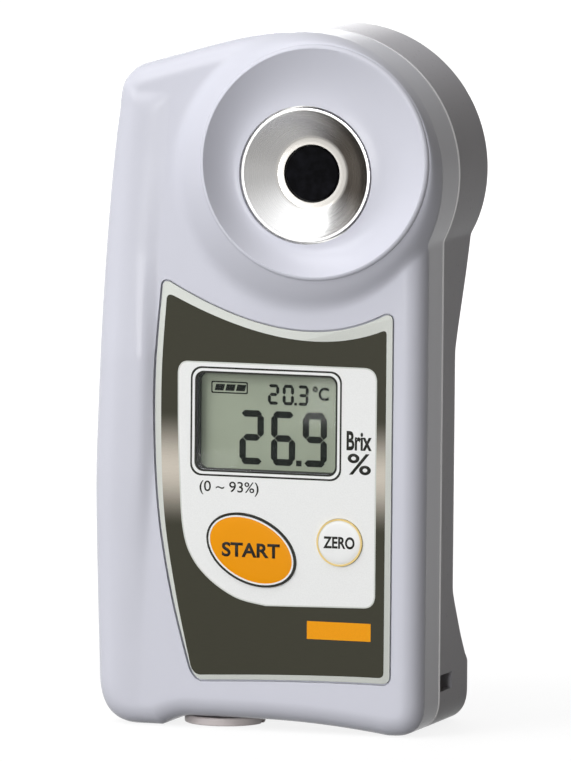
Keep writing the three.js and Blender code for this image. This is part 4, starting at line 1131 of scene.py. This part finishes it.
def on_display(x0, x1, z0, z1):
    return x0 + seen_x, x1 + seen_x, z0 + seen_z, z1 + seen_z


keep(reading("display_reading", "269", on_display(-3.9, 10.9, 41.8, 50.3), 1.05))
keep(reading("display_temperature", "203", on_display(0.7, 7.6, 51.3, 54.5), 0.5))
keep(text_piece("display_unit", "°C", on_display(8.0, 10.7, 52.2, 54.4), display_y - 0.01, lcd_dark, 0.03))
# A black lining round the window's opening, so that the recess shows dark: painted shade.
liner_painted_shade = moulded("window_liner_painted_shade", "1d1e1c", 0.6, grain=3.0)
liner = ring_piece("window_liner", window_outline(-0.57), window_outline(-0.72), label_y + wall / 2,
                   display_y - 0.05, liner_painted_shade)
keep(liner)
bx, bz = -8.6 + seen_x, 52.8 + seen_z
battery = [ring_piece("display_battery", round_box(bx + 3.0, bz + 0.9, 6.0, 1.9, 0.25),
                      round_box(bx + 3.0, bz + 0.9, 5.6, 1.5, 0.2), display_y - 0.03, display_y, lcd_dark)]
for i in range(3):
    slant, long = 0.25, 1.45
    x = bx + 0.55 + i * 1.75
    bar = [(x, bz + 0.4), (x + long, bz + 0.4), (x + long + slant, bz + 1.4), (x + slant, bz + 1.4)]
    battery.append(prism_y("cell", bar, display_y - 0.03, display_y))
keep(joined("display_battery", battery))


# Window: a clear plate, seen through without waiting for light to bend

def window_material():
    """Clear plastic as a thin see-through coat with faint smears."""
    made, n, shader = material("window_clear", colour("5c6460"), Roughness=0.04, Alpha=0.07)
    smear = n.noise(n.place(scale=(1, 1, 1.6)), 0.25, 3.0)
    n.join(n.spread(smear, 0.03, 0.09), shader.inputs["Roughness"])
    tint = n.blend(n.spread(smear, 0.0, 0.6), colour("545c58"), colour("6c746f"))
    n.join(tint, shader.inputs["Base Color"])
    return made


pane = prism_y("window_pane", window_outline(), label_front_y, label_front_y + label_thick)
pane.data.materials.append(window_material())
bevelled(pane, 0.08)
keep(crisp(pane), nodes=["display_window"])


# Keys: a crowned cap each, with its printed ring and word

orange_key = moulded("key_orange_silicone", "ec9806", 0.42, drift=0.02, grain=3.0, relief=0.006,
                     Specular_IOR_Level=0.1)
white_key = moulded("key_white_silicone", "e9eae9", 0.42, drift=0.01, grain=3.0, relief=0.006, scratches=0.1,
                    dust=0.05)
key_front = label_front_y - key_proud
flange_y = label_y + wall + fit


def key_cap(name, outline, tone, stem_x, stem_z):
    """A key from its crowned face back to its collar and stem."""
    n = len(outline(0.0))
    levels = [(-2.6, key_front), (-1.5, key_front + 0.01), (-0.8, key_front + 0.04), (-0.42, key_front + 0.1),
              (-0.18, key_front + 0.2), (-0.05, key_front + 0.33), (0.0, key_front + 0.5), (0.0, flange_y),
              (1.2, flange_y), (1.2, flange_y + 0.8)]
    points = [(x, y, z) for by, y in levels for x, z in outline(by)]
    cap = clean(piece(name, points, wall_faces(len(levels), n) + end_faces(len(levels), n), [tone]), sharp=40)
    stem = turned("stem", [(1.3, flange_y + 0.5), (1.3, -7.4), (1.1, -7.3)], "Y", (stem_x, 0, stem_z), 48)
    cut(cap, stem, "UNION")
    return crisp(cap, 40)


key_caps = [("start_key", start_outline, orange_key, start_x, start_z),
            ("zero_key", zero_outline, white_key, zero_x, zero_z)]
for key, outline, tone, x, z in key_caps:
    keep(key_cap(key + "_cap", outline, tone, x, z), key, [key])
key_rings = [("start_key", "_line", start_outline, 0.02, -0.34, 0.06, 0.5, black_ink),
             ("start_key", "_edge", start_outline, -0.34, -0.6, 0.03, 0.3, white_ink),
             ("zero_key", "_line", zero_outline, 0.02, -0.25, 0.06, 0.5, gold_ink)]
for key, end, outline, outer, inner, y0, y1, tone in key_rings:
    ring = ring_piece(key + end, outline(outer), outline(inner), key_front + y0, key_front + y1, tone)
    keep(ring, key)
key_words = [("start_key", "START", start_x, start_z, 4.75, 1.15),
             ("zero_key", "ZERO", zero_x, zero_z, 2.55, 0.95)]
for key, text, x, z, wide, high in key_words:
    box = (x - wide, x + wide, z - high, z + high)
    keep(text_piece(key + "_word", text, box, key_front, black_ink, 0.03), key)


# Sample stage and prism

def turned_steel():
    """Turned stainless steel: fine rings round the axis, and painted fans of reflected light and dark in its
    colour.
    """
    made, n, shader = material("stage_turned_steel", colour("c9c6c0"), Metallic=1.0, Roughness=0.26)
    where = n.place(offset=(stage_x, 0, stage_z))
    x, z = n.axis("X", where), n.axis("Z", where)
    radius = n.sums("SQRT", n.sums("ADD", n.sums("MULTIPLY", x, x), n.sums("MULTIPLY", z, z)), 0.0)
    angle = n.sums("ARCTAN2", z, x)
    rings = n.noise(n.add("ShaderNodeCombineXYZ", {"X": radius}).outputs[0], 9.0, 3.0, 0.7)
    low = n.sums("COSINE", n.sums("ADD", angle, 1.75), 0.0)  # painted reflection, brightest at the bottom, a little to the left
    ends = n.sums("COSINE", n.sums("MULTIPLY", angle, 2.0), 0.0)  # painted reflection, lighter above and below than at the sides
    # painted reflection, darker on the right
    right = n.sums("COSINE", angle, 0.0)
    both = n.sums("MULTIPLY", n.sums("SUBTRACT", low, ends), 0.25)
    bright = n.sums("SUBTRACT", both, n.sums("MULTIPLY", right, 0.3))
    light = n.sums("POWER", n.sums("ADD", bright, 0.5, True), 1.8)
    # the painted reflection fans on the stage's slope
    painted_reflection_fan = n.blend(light, colour("4a453f"), colour("ffffff"))
    cone = n.sums("MULTIPLY", n.between(radius, ring_radius - 0.1, ring_radius + 0.5),
                  n.between(radius, stage_radius - 0.25, stage_radius - 0.5))
    outwards = n.between(radius, ring_radius + 0.6, stage_radius - 0.6)
    level = n.blend(outwards, colour("b8b5b0"), colour("f2f1ef"))
    fan = n.blend(cone, level, painted_reflection_fan)
    dress(n, shader, fan, n.spread(rings, 0.93, 1.06), rings, (0.2, 0.34), (0.35, 0.004))
    return made


def painted_dark_glass():
    """The prism's face, which shows as black: near-black painted shade in its colour, with little reflection
    and a faint haze.
    """
    made, n, shader = material("prism_painted_dark_glass", colour("0a0a0d"), Roughness=0.08, Specular_IOR_Level=0.03)
    haze = n.noise(n.place(), 0.8, 3.0)
    n.join(n.spread(haze, 0.06, 0.14), shader.inputs["Roughness"])
    tone = n.blend(n.between(haze, 0.4, 0.7), colour("08080a"), colour("121216"))
    n.join(tone, shader.inputs["Base Color"])
    return made


steel = turned_steel()
prism_glass = painted_dark_glass()
flange_radius, flange_back = 11.9, flange_y + 1.8
hole = prism_radius + fit
cone_steps = 10
profile = [(hole, ring_y), (ring_radius - 0.06, ring_y), (ring_radius, ring_y - 0.02)]
for i in range(1, cone_steps):  # the slope from the flat ring out to the rim, a little round
    t = i / cone_steps
    profile.append((ring_radius + (stage_radius - 0.55 - ring_radius) * t + 0.35 * math.sin(math.pi * t),
                    ring_y + (stage_edge_y + 0.12 - ring_y) * t))
profile += [(stage_radius - 0.5, stage_edge_y + 0.1), (stage_radius - 0.44, stage_edge_y + 0.02),
            (stage_radius - 0.2, stage_edge_y), (stage_radius - 0.06, stage_edge_y + 0.04),
            (stage_radius, stage_edge_y + 0.16), (stage_radius, flange_y), (flange_radius, flange_y),
            (flange_radius, flange_back), (hole, flange_back), (hole, ring_y)]
stage = turned("sample_stage_turned", profile, "Y", (stage_x, 0, stage_z), 192, [steel])
keep(stage, nodes=["sample_stage"])

optics_y = flange_back + 1.2
front = ring_y + fit / 2
face = turned("prism_face", [(0.01, front), (prism_radius - 0.15, front), (prism_radius, front + 0.12),
                             (prism_radius, optics_y + fit)], "Y", (stage_x, 0, stage_z), 128, [prism_glass])
half = prism_radius * 0.72
wedge = [(stage_x - half, optics_y), (stage_x + half, optics_y), (stage_x + half / 3, optics_y + 6),
         (stage_x - half / 3, optics_y + 6)]
points = [(x, y, z) for z in (stage_z - half, stage_z + half) for x, y in wedge]
block = piece("wedge", points, [(0, 1, 2, 3), (7, 6, 5, 4), (0, 4, 5, 1), (1, 5, 6, 2), (2, 6, 7, 3),
                                (3, 7, 4, 0)])
clean(block)
cut(face, bevelled(block, 0.2), "UNION")
keep(crisp(face), nodes=["prism"])


# Coin lock under the foot

lock_skin = moulded("lock_grey_moulding", "d5cccb", 0.4, grain=2.0, relief=0.006, scratches=0.4, dust=0.1)
bush_seat_z = bay_floor - wall / 2
shank_top = bush_seat_z - 3 * fit
profile = [(coin_radius - 0.25, 0), (coin_radius - 0.07, 0.08), (coin_radius, 0.28),
           (coin_radius, coin_head - 0.15), (coin_radius - 0.15, coin_head), (2.2, coin_head),
           (2.0, coin_head + 0.2), (2.0, shank_top - 0.3), (1.7, shank_top)]
lock = turned("coin_lock_turned", profile, "Z", (coin_x, coin_y, 0), 128, [lock_skin])
reach = coin_radius + 1
cut(lock, box_piece("slot", coin_x - reach, coin_x + reach, coin_y - 0.8, coin_y + 0.8, -1, 0.56))
keep(crisp(lock), "coin_lock", ["coin_lock"])


# Screws and springs, each from one tree

def screw_tree():
    """A cross-headed screw on every point, its head to the back: shank, round head and a cross cut in."""
    tree, n, value = new_tree("cross_screws", ["Head radius", "Head height", "Shank radius", "Shank length",
                                               "Cross length", "Cross width"])

    def scaled(name, by):
        return n.add("ShaderNodeMath", {0: value[name], 1: by}, operation="MULTIPLY").outputs[0]

    def moved(shape, z=None, turn=(0, 0, 0)):
        where = n.add("ShaderNodeCombineXYZ", {"Z": z if z is not None else 0.0})
        node = n.add("GeometryNodeTransform", {"Geometry": shape, "Translation": where.outputs[0]})
        node.inputs["Rotation"].default_value = turn
        return node.outputs[0]

    head = n.add("GeometryNodeMeshCylinder", {"Vertices": 40, "Radius": value["Head radius"],
                                              "Depth": scaled("Head height", 0.7)}).outputs["Mesh"]
    dome = n.add("GeometryNodeMeshCone", {"Vertices": 40, "Radius Bottom": value["Head radius"],
                                          "Radius Top": scaled("Head radius", 0.72),
                                          "Depth": scaled("Head height", 0.3)}).outputs["Mesh"]
    shank = n.add("GeometryNodeMeshCylinder", {"Vertices": 24, "Radius": value["Shank radius"],
                                               "Depth": value["Shank length"]}).outputs["Mesh"]
    bars = []
    for a, b in (("Cross length", "Cross width"), ("Cross width", "Cross length")):
        size = n.add("ShaderNodeCombineXYZ", {"X": value[a], "Y": value[b], "Z": value["Head height"]})
        bars.append(n.add("GeometryNodeMeshCube", {"Size": size.outputs[0]}).outputs["Mesh"])
    body = n.add("GeometryNodeMeshBoolean", operation="UNION")
    body.solver = "EXACT"
    for shape in (moved(head, scaled("Head height", 0.35)), moved(dome, scaled("Head height", 0.7)),
                  moved(shank, scaled("Shank length", -0.49))):
        n.join(shape, body.inputs["Mesh 2"])
    carved = n.add("GeometryNodeMeshBoolean", operation="DIFFERENCE")
    carved.solver = "EXACT"
    n.join(body.outputs[0], carved.inputs["Mesh 1"])
    for cross in bars:
        n.join(moved(cross, value["Head height"]), carved.inputs["Mesh 2"])
    laid = n.add("GeometryNodeTransform", {"Geometry": carved.outputs[0]})
    laid.inputs["Rotation"].default_value = (-math.pi / 2, 0, 0)
    spin = n.add("FunctionNodeRandomValue", data_type="FLOAT")
    spin.inputs[2].default_value, spin.inputs[3].default_value = 0.0, 1.5
    spin.inputs["Seed"].default_value = 5
    angle = n.add("ShaderNodeCombineXYZ", {"Y": spin.outputs[1]})
    end_tree(n, laid.outputs[0], Rotation=angle.outputs[0])
    return tree


def plated(name, tone, roughness):
    """Plated or bare metal with fine scratches."""
    made, n, shader = material(name, colour(tone), Metallic=1.0)
    fine = n.noise(n.place(), 4.0, 4.0, 0.65)
    gloss = (roughness - 0.06, roughness + 0.1)
    dress(n, shader, colour(tone), n.spread(fine, 0.9, 1.06), fine, gloss, (0.3, 0.006))
    return made


nickel = plated("screw_nickel", "c4c2bc", 0.3)
spring_steel = plated("contact_nickel", "bdbbb4", 0.27)
brass = plated("bush_brass_turned", "b9934f", 0.32)
screws = screw_tree()
screw_head_tall = 1.4


def screw_set(name, places, head_y, tip_y, cap_radius, nodes):
    """A set of screws with their heads to the back, in one mesh."""
    sizes = {"Head radius": cap_radius, "Head height": screw_head_tall, "Shank radius": 1.0,
             "Shank length": head_y - tip_y, "Cross length": cap_radius * 1.24,
             "Cross width": cap_radius * 0.32}
    obj = worked_points(name, screws, [(x, head_y, z) for x, z in places], {},
                        {**{title: size * mm for title, size in sizes.items()}, "Finish": nickel})
    keep(crisp(obj), nodes=nodes)


screw_set("case_screws", case_screw_places, waist_y - seat_sunk + fit / 2, seam_y - 5.5, 1.9,
          ["case_screw_foot", "case_screw_waist", "case_screw_shoulder", "case_screw_crown"])
optics_back = waist_y - wall - 2 * fit
screw_set("optics_screws", [(stage_x - 10.9, stage_z + 7.6), (stage_x + 10.9, stage_z - 7.6)],
          optics_back - screw_head_tall - fit / 2, label_y, 1.5, ["optics_screw_1", "optics_screw_2"])


def spring_tree():
    """A coil spring of round wire that narrows towards its top."""
    tree, n, value = new_tree("contact_spring", ["Turns", "Wide radius", "Narrow radius", "Height",
                                                 "Wire radius"])
    coil = n.add("GeometryNodeCurveSpiral", {
        "Resolution": 28, "Rotations": value["Turns"], "Start Radius": value["Wide radius"],
        "End Radius": value["Narrow radius"], "Height": value["Height"]})
    wire = n.add("GeometryNodeCurvePrimitiveCircle", {"Resolution": 10, "Radius": value["Wire radius"]})
    skin = n.add("GeometryNodeCurveToMesh", {"Curve": coil.outputs[0], "Profile Curve": wire.outputs[0],
                                             "Fill Caps": True})
    angle = n.add("ShaderNodeCombineXYZ", {"X": own_value(n, "flip")})
    end_tree(n, skin.outputs[0], Rotation=angle.outputs[0])
    return tree


def spring(name, x, low, high, up, node):
    """A battery spring on its broad end, which stands on the bay's floor or hangs from its top."""
    wire = 0.28
    foot = low + wire if up else high - wire
    obj = worked_points(name, springs, [(x, cell_y, foot)], {"flip": [0.0 if up else math.pi]},
                        {"Turns": 4.5, "Wide radius": 3.4 * mm, "Narrow radius": 2.0 * mm,
                         "Height": (high - low - 2 * wire) * mm, "Wire radius": wire * mm,
                         "Finish": spring_steel})
    keep(clean(obj, gap=0.0001, sharp=60), nodes=[node])


springs = spring_tree()
cell_radius, cell_length, cell_nub, cell_y = 5.25, 43.3, 1.2, 1.75
cell_shift = cell_radius + fit
left_base, right_base = bay_floor + 2.6 + fit, bay_floor + 0.6 + 2 * fit + cell_nub
spring("spring_left", bay_x - cell_shift, bay_floor + fit, left_base - fit, True, "spring_contact_left")
spring("spring_right", bay_x + cell_shift, right_base + cell_length + fit, bay_top - fit, False,
       "spring_contact_right")


# Cells with plain sleeves, contacts and lock bush

def cell_sleeve():
    """Shrunk plastic sleeve: dark body and a copper band at the button end."""
    made, n, shader = material("cell_sleeve", colour("2b2d33"), Coat_Weight=0.5, Coat_Roughness=0.15)
    height_up = n.axis("Z")
    left = n.between(n.axis("X"), bay_x + 0.05, bay_x - 0.05)
    up_band = n.between(height_up, left_base + cell_length - 10.2, left_base + cell_length - 10.0)
    down_band = n.between(height_up, right_base + 10.2, right_base + 10.0)
    right_band = n.sums("MULTIPLY", down_band, n.sums("SUBTRACT", 1.0, left))
    band = n.sums("ADD", n.sums("MULTIPLY", up_band, left), right_band)
    wrap = n.noise(n.place(), 0.6, 3.0)
    tone = n.blend(band, colour("2b2d33"), colour("b4703c"))
    dress(n, shader, tone, n.spread(wrap, 0.9, 1.08), wrap, (0.25, 0.4), (0.3, 0.02))
    return made


sleeve = cell_sleeve()
can_steel = plated("cell_can_steel", "c8c7c3", 0.3)


def cell(name, x, base, up, node):
    """A dry cell: sleeve drawn over both ends, bare steel base and button."""
    top = base + cell_length
    r = cell_radius
    lows = [(0.01, 0.12), (r - 1.5, 0.12), (r - 1.35, 0.0), (r - 0.5, 0.0), (r - 0.15, 0.12), (r, 0.5)]
    highs = [(r, cell_length - 0.5), (r - 0.15, cell_length - 0.12), (r - 0.5, cell_length),
             (r - 1.1, cell_length), (r - 1.25, cell_length - 0.2), (2.3, cell_length - 0.2),
             (1.95, cell_length), (1.9, cell_length + 0.3), (1.9, cell_length + cell_nub - 0.2),
             (1.7, cell_length + cell_nub), (0.01, cell_length + cell_nub)]
    profile = [(rr, base + h if up else top - h) for rr, h in lows + highs]
    obj = turned(name, profile, "Z", (x, cell_y, 0), 96, [sleeve, can_steel])
    for face in obj.data.polygons:
        c = face.center / mm
        if math.hypot(c.x - x, c.y - cell_y) < r - 1.2:
            face.material_index = 1
    keep(crisp(obj), nodes=[node])


cell("cell_left", bay_x - cell_shift, left_base, True, "aaa_cell_left")
cell("cell_right", bay_x + cell_shift, right_base, False, "aaa_cell_right")


def plate_contact(name, x, z0, z1, node):
    """A stamped contact: a rounded plate with eased edges."""
    half = cell_radius * 0.8
    outline = round_box(x, cell_y, 2 * half, 2 * half, 0.9)
    n = len(outline)
    ease = 0.08
    levels = [(ease, z0), (0.0, z0 + ease), (0.0, z1 - ease), (ease, z1)]
    points = []
    for by, z in levels:
        points += [(px - math.copysign(by, px - x), py - math.copysign(by, py - cell_y), z)
                   for px, py in outline]
    plate = piece(name, points, wall_faces(len(levels), n) + end_faces(len(levels), n), [spring_steel])
    keep(crisp(plate), nodes=[node])


plate_contact("plate_left", bay_x - cell_shift, left_base + cell_length + cell_nub + fit, bay_top - fit,
              "plate_contact_left")
plate_contact("plate_right", bay_x + cell_shift, bay_floor + fit, right_base - cell_nub - fit,
              "plate_contact_right")

board_y = -6.1
for name, x, z in (("start_key_dome", start_x, start_z), ("zero_key_dome", zero_x, zero_z)):
    back = board_y - fit / 2
    skin = [(2.4, back), (2.4, back - 0.05), (2.0, back - 0.14), (1.4, back - 0.23), (0.7, back - 0.29),
            (0.01, back - 0.3)]
    shell = turned(name + "_snap", [(0.01, back), *skin], "Y", (x, 0, z), 64, [spring_steel])
    keep(crisp(shell, 40), nodes=[name])

bush_low, bush_high, bush_out, bush_in = floor_z + fit, bush_seat_z - 2 * fit, 3.2, 2.15
profile = [(bush_in, bush_low + 0.2), (bush_in + 0.2, bush_low), (bush_out - 0.15, bush_low),
           (bush_out, bush_low + 0.15)]
for i in range(1, 8):  # turned grooves that hold it in the moulding
    z = bush_low + (bush_high - bush_low) * i / 8
    profile += [(bush_out, z - 0.12), (bush_out - 0.14, z), (bush_out, z + 0.12)]
profile += [(bush_out, bush_high - 0.15), (bush_out - 0.15, bush_high), (bush_in + 0.2, bush_high),
            (bush_in, bush_high - 0.2), (bush_in, bush_low + 0.2)]
bush = turned("lock_bush_turned", profile, "Z", (coin_x, coin_y, 0), 96, [brass])
keep(crisp(bush), nodes=["lock_bush"])


# Finishes of the CAD nodes that show as they are

def finish(made, *names):
    for name in names:
        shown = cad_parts[name]
        shown.data.materials.clear()
        shown.data.materials.append(made)


def board_lacquer():
    """Green lacquer over glass weave, with copper runs showing faintly."""
    made, n, shader = material("board_lacquer", colour("1d5a3a"), Coat_Weight=0.4, Coat_Roughness=0.2)
    weave = n.add("ShaderNodeTexWave", {"Vector": n.place(turn=(0, 0.79, 0)), "Scale": 2.2,
                                        "Distortion": 0.4})
    spots = n.add("ShaderNodeTexBrick", {
        "Vector": n.place(turn=(math.pi / 2, 0, 0)), "Scale": 0.5, "Mortar Size": 0.03,
        "Color1": (0, 0, 0, 1), "Color2": (0.15, 0.15, 0.15, 1), "Mortar": (1, 1, 1, 1)})
    runs = n.blend(n.sums("MULTIPLY", spots.outputs["Color"], 0.35), colour("174d31"), colour("3f8a5d"))
    cloth = n.between(weave.outputs["Color"], 0.0, 1.0, 0.94, 1.05)
    n.join(n.shaded(runs, cloth), shader.inputs["Base Color"])
    haze = n.noise(n.place(), 0.7, 3.0)
    n.join(n.spread(haze, 0.3, 0.45), shader.inputs["Roughness"])
    n.join(n.bump(weave.outputs["Color"], 0.12, 0.01), shader.inputs["Normal"])
    return made


# name, tone, roughness, drift, grain, relief, scratches, dust, and the nodes that wear it
skins = [
    ("seal_rubber_skin", "232323", 0.75, 0.1, 3.0, 0.02, 0.1, 0.35,
     ["case_seal", "prism_seal", "display_contact_upper", "display_contact_lower"]),
    ("black_moulding_skin", "2b2b2e", 0.55, 0.06, 2.4, 0.01, 0.2, 0.3,
     ["display_frame", "battery_tray", "optics_block"]),
    ("chip_epoxy", "18181a", 0.5, 0.08, 4.0, 0.008, 0.1, 0.15,
     ["microcontroller", "beeper", "image_sensor", "thermistor"]),
    ("flat_lead_film", "b9772b", 0.3, 0.08, 1.4, 0.006, 0.2, 0.1, ["sensor_lead"]),
    ("lens_clear_resin", "d9e2de", 0.08, 0.01, 1.0, 0.0005, 0.05, 0.05, ["lens"]),
    ("lamp_amber_resin", "d98a1e", 0.15, 0.05, 1.0, 0.001, 0.05, 0.05, ["lamp"])]
for name, tone, rough, drift, grain, relief, scratches, dust, worn in skins:
    finish(moulded(name, tone, rough, drift, 0.04, grain, relief, scratches, dust), *worn)
finish(board_lacquer(), "main_board", "lamp_board", "sensor_board")
finish(plated("crystal_can", "cfcfcd", 0.25), "clock_crystal")


# Floor, light and camera

def seen_as_background(n):
    """1 for the rays that show the background: straight to the eye, by a reflection or through glass."""
    path = n.add("ShaderNodeLightPath")
    direct = n.sums("MAXIMUM", path.outputs["Is Camera Ray"], path.outputs["Is Transmission Ray"])
    return n.sums("MAXIMUM", direct, path.outputs["Is Glossy Ray"])


def make_floor():
    """A wide white floor that keeps the object's shadow and glows a little more further out."""
    edge, low = 3000, -0.02
    corners = [(-edge, -edge, low), (edge, -edge, low), (edge, edge, low), (-edge, edge, low)]
    floor = piece("floor", corners, [(0, 1, 2, 3)])
    made, n, shader = material("floor_white", (0.12, 0.12, 0.12, 1), Roughness=0.9)
    away = n.add("ShaderNodeVectorMath", {0: n.place()}, operation="LENGTH").outputs["Value"]
    glow = n.between(away, 60.0, 320.0, 0.85, 1.0)
    shader.inputs["Emission Color"].default_value = (1, 1, 1, 1)
    n.join(n.sums("MULTIPLY", glow, seen_as_background(n)), shader.inputs["Emission Strength"])
    floor.data.materials.append(made)


def lamp(name, at, aim_z, size, watts):
    """A square lamp that points at a height on the object's axis."""
    light = bpy.data.lights.new(name, "AREA")
    light.energy = watts
    light.size = size
    obj = placed(name, light)
    obj.location = at
    obj.rotation_euler = (Vector((0, 0, aim_z)) - Vector(at)).to_track_quat("-Z", "Y").to_euler()


def make_camera():
    """A long lens a little above the object and to its right, rolled by half a degree."""
    yaw, tilt, roll, away = math.radians(18), math.radians(5.8), math.radians(0.5), 1.8
    back = Vector((math.sin(yaw) * math.cos(tilt), -math.cos(yaw) * math.cos(tilt), math.sin(tilt)))
    side = Vector((math.cos(yaw), math.sin(yaw), 0))
    up = back.cross(side)
    aim = Vector((0, -2.1 * mm, 54.5 * mm)) + side * 0.61 * mm - up * 0.39 * mm
    camera = bpy.data.cameras.new("camera")
    camera.lens = 544.3
    camera.clip_end = 20
    obj = placed("camera", camera)
    turn = Matrix.Rotation(roll, 3, back) @ Matrix((side, up, back)).transposed()
    obj.matrix_world = Matrix.Translation(aim + back * away) @ turn.to_4x4()
    scene.camera = obj


def make_world():
    """White behind the object, and a dim room as light on it, a little warmer and darker on the right."""
    world = bpy.data.worlds.new("world")
    scene.world = world
    world.use_nodes = True
    n = Nodes(world.node_tree)
    background = world.node_tree.nodes["Background"]
    way = n.add("ShaderNodeSeparateXYZ", {0: n.add("ShaderNodeTexCoord").outputs["Generated"]})
    room = n.blend(n.between(way.outputs["X"], -0.7, 0.5), (0.34, 0.34, 0.35, 1), (0.06, 0.052, 0.042, 1))
    n.join(n.blend(seen_as_background(n), room, (1, 1, 1, 1)), background.inputs["Color"])


make_floor()
lamp("key", (-0.6, -0.98, 0.7), 0.06, 0.6, 7.6)
lamp("fill", (0.0, -1.35, 0.15), 0.04, 0.4, 8.3)
lamp("top", (-0.35, -0.25, 1.0), 0.05, 0.6, 4.6)
lamp("back", (-0.5, 1.2, 0.12), 0.05, 0.5, 2.0)
make_world()
make_camera()
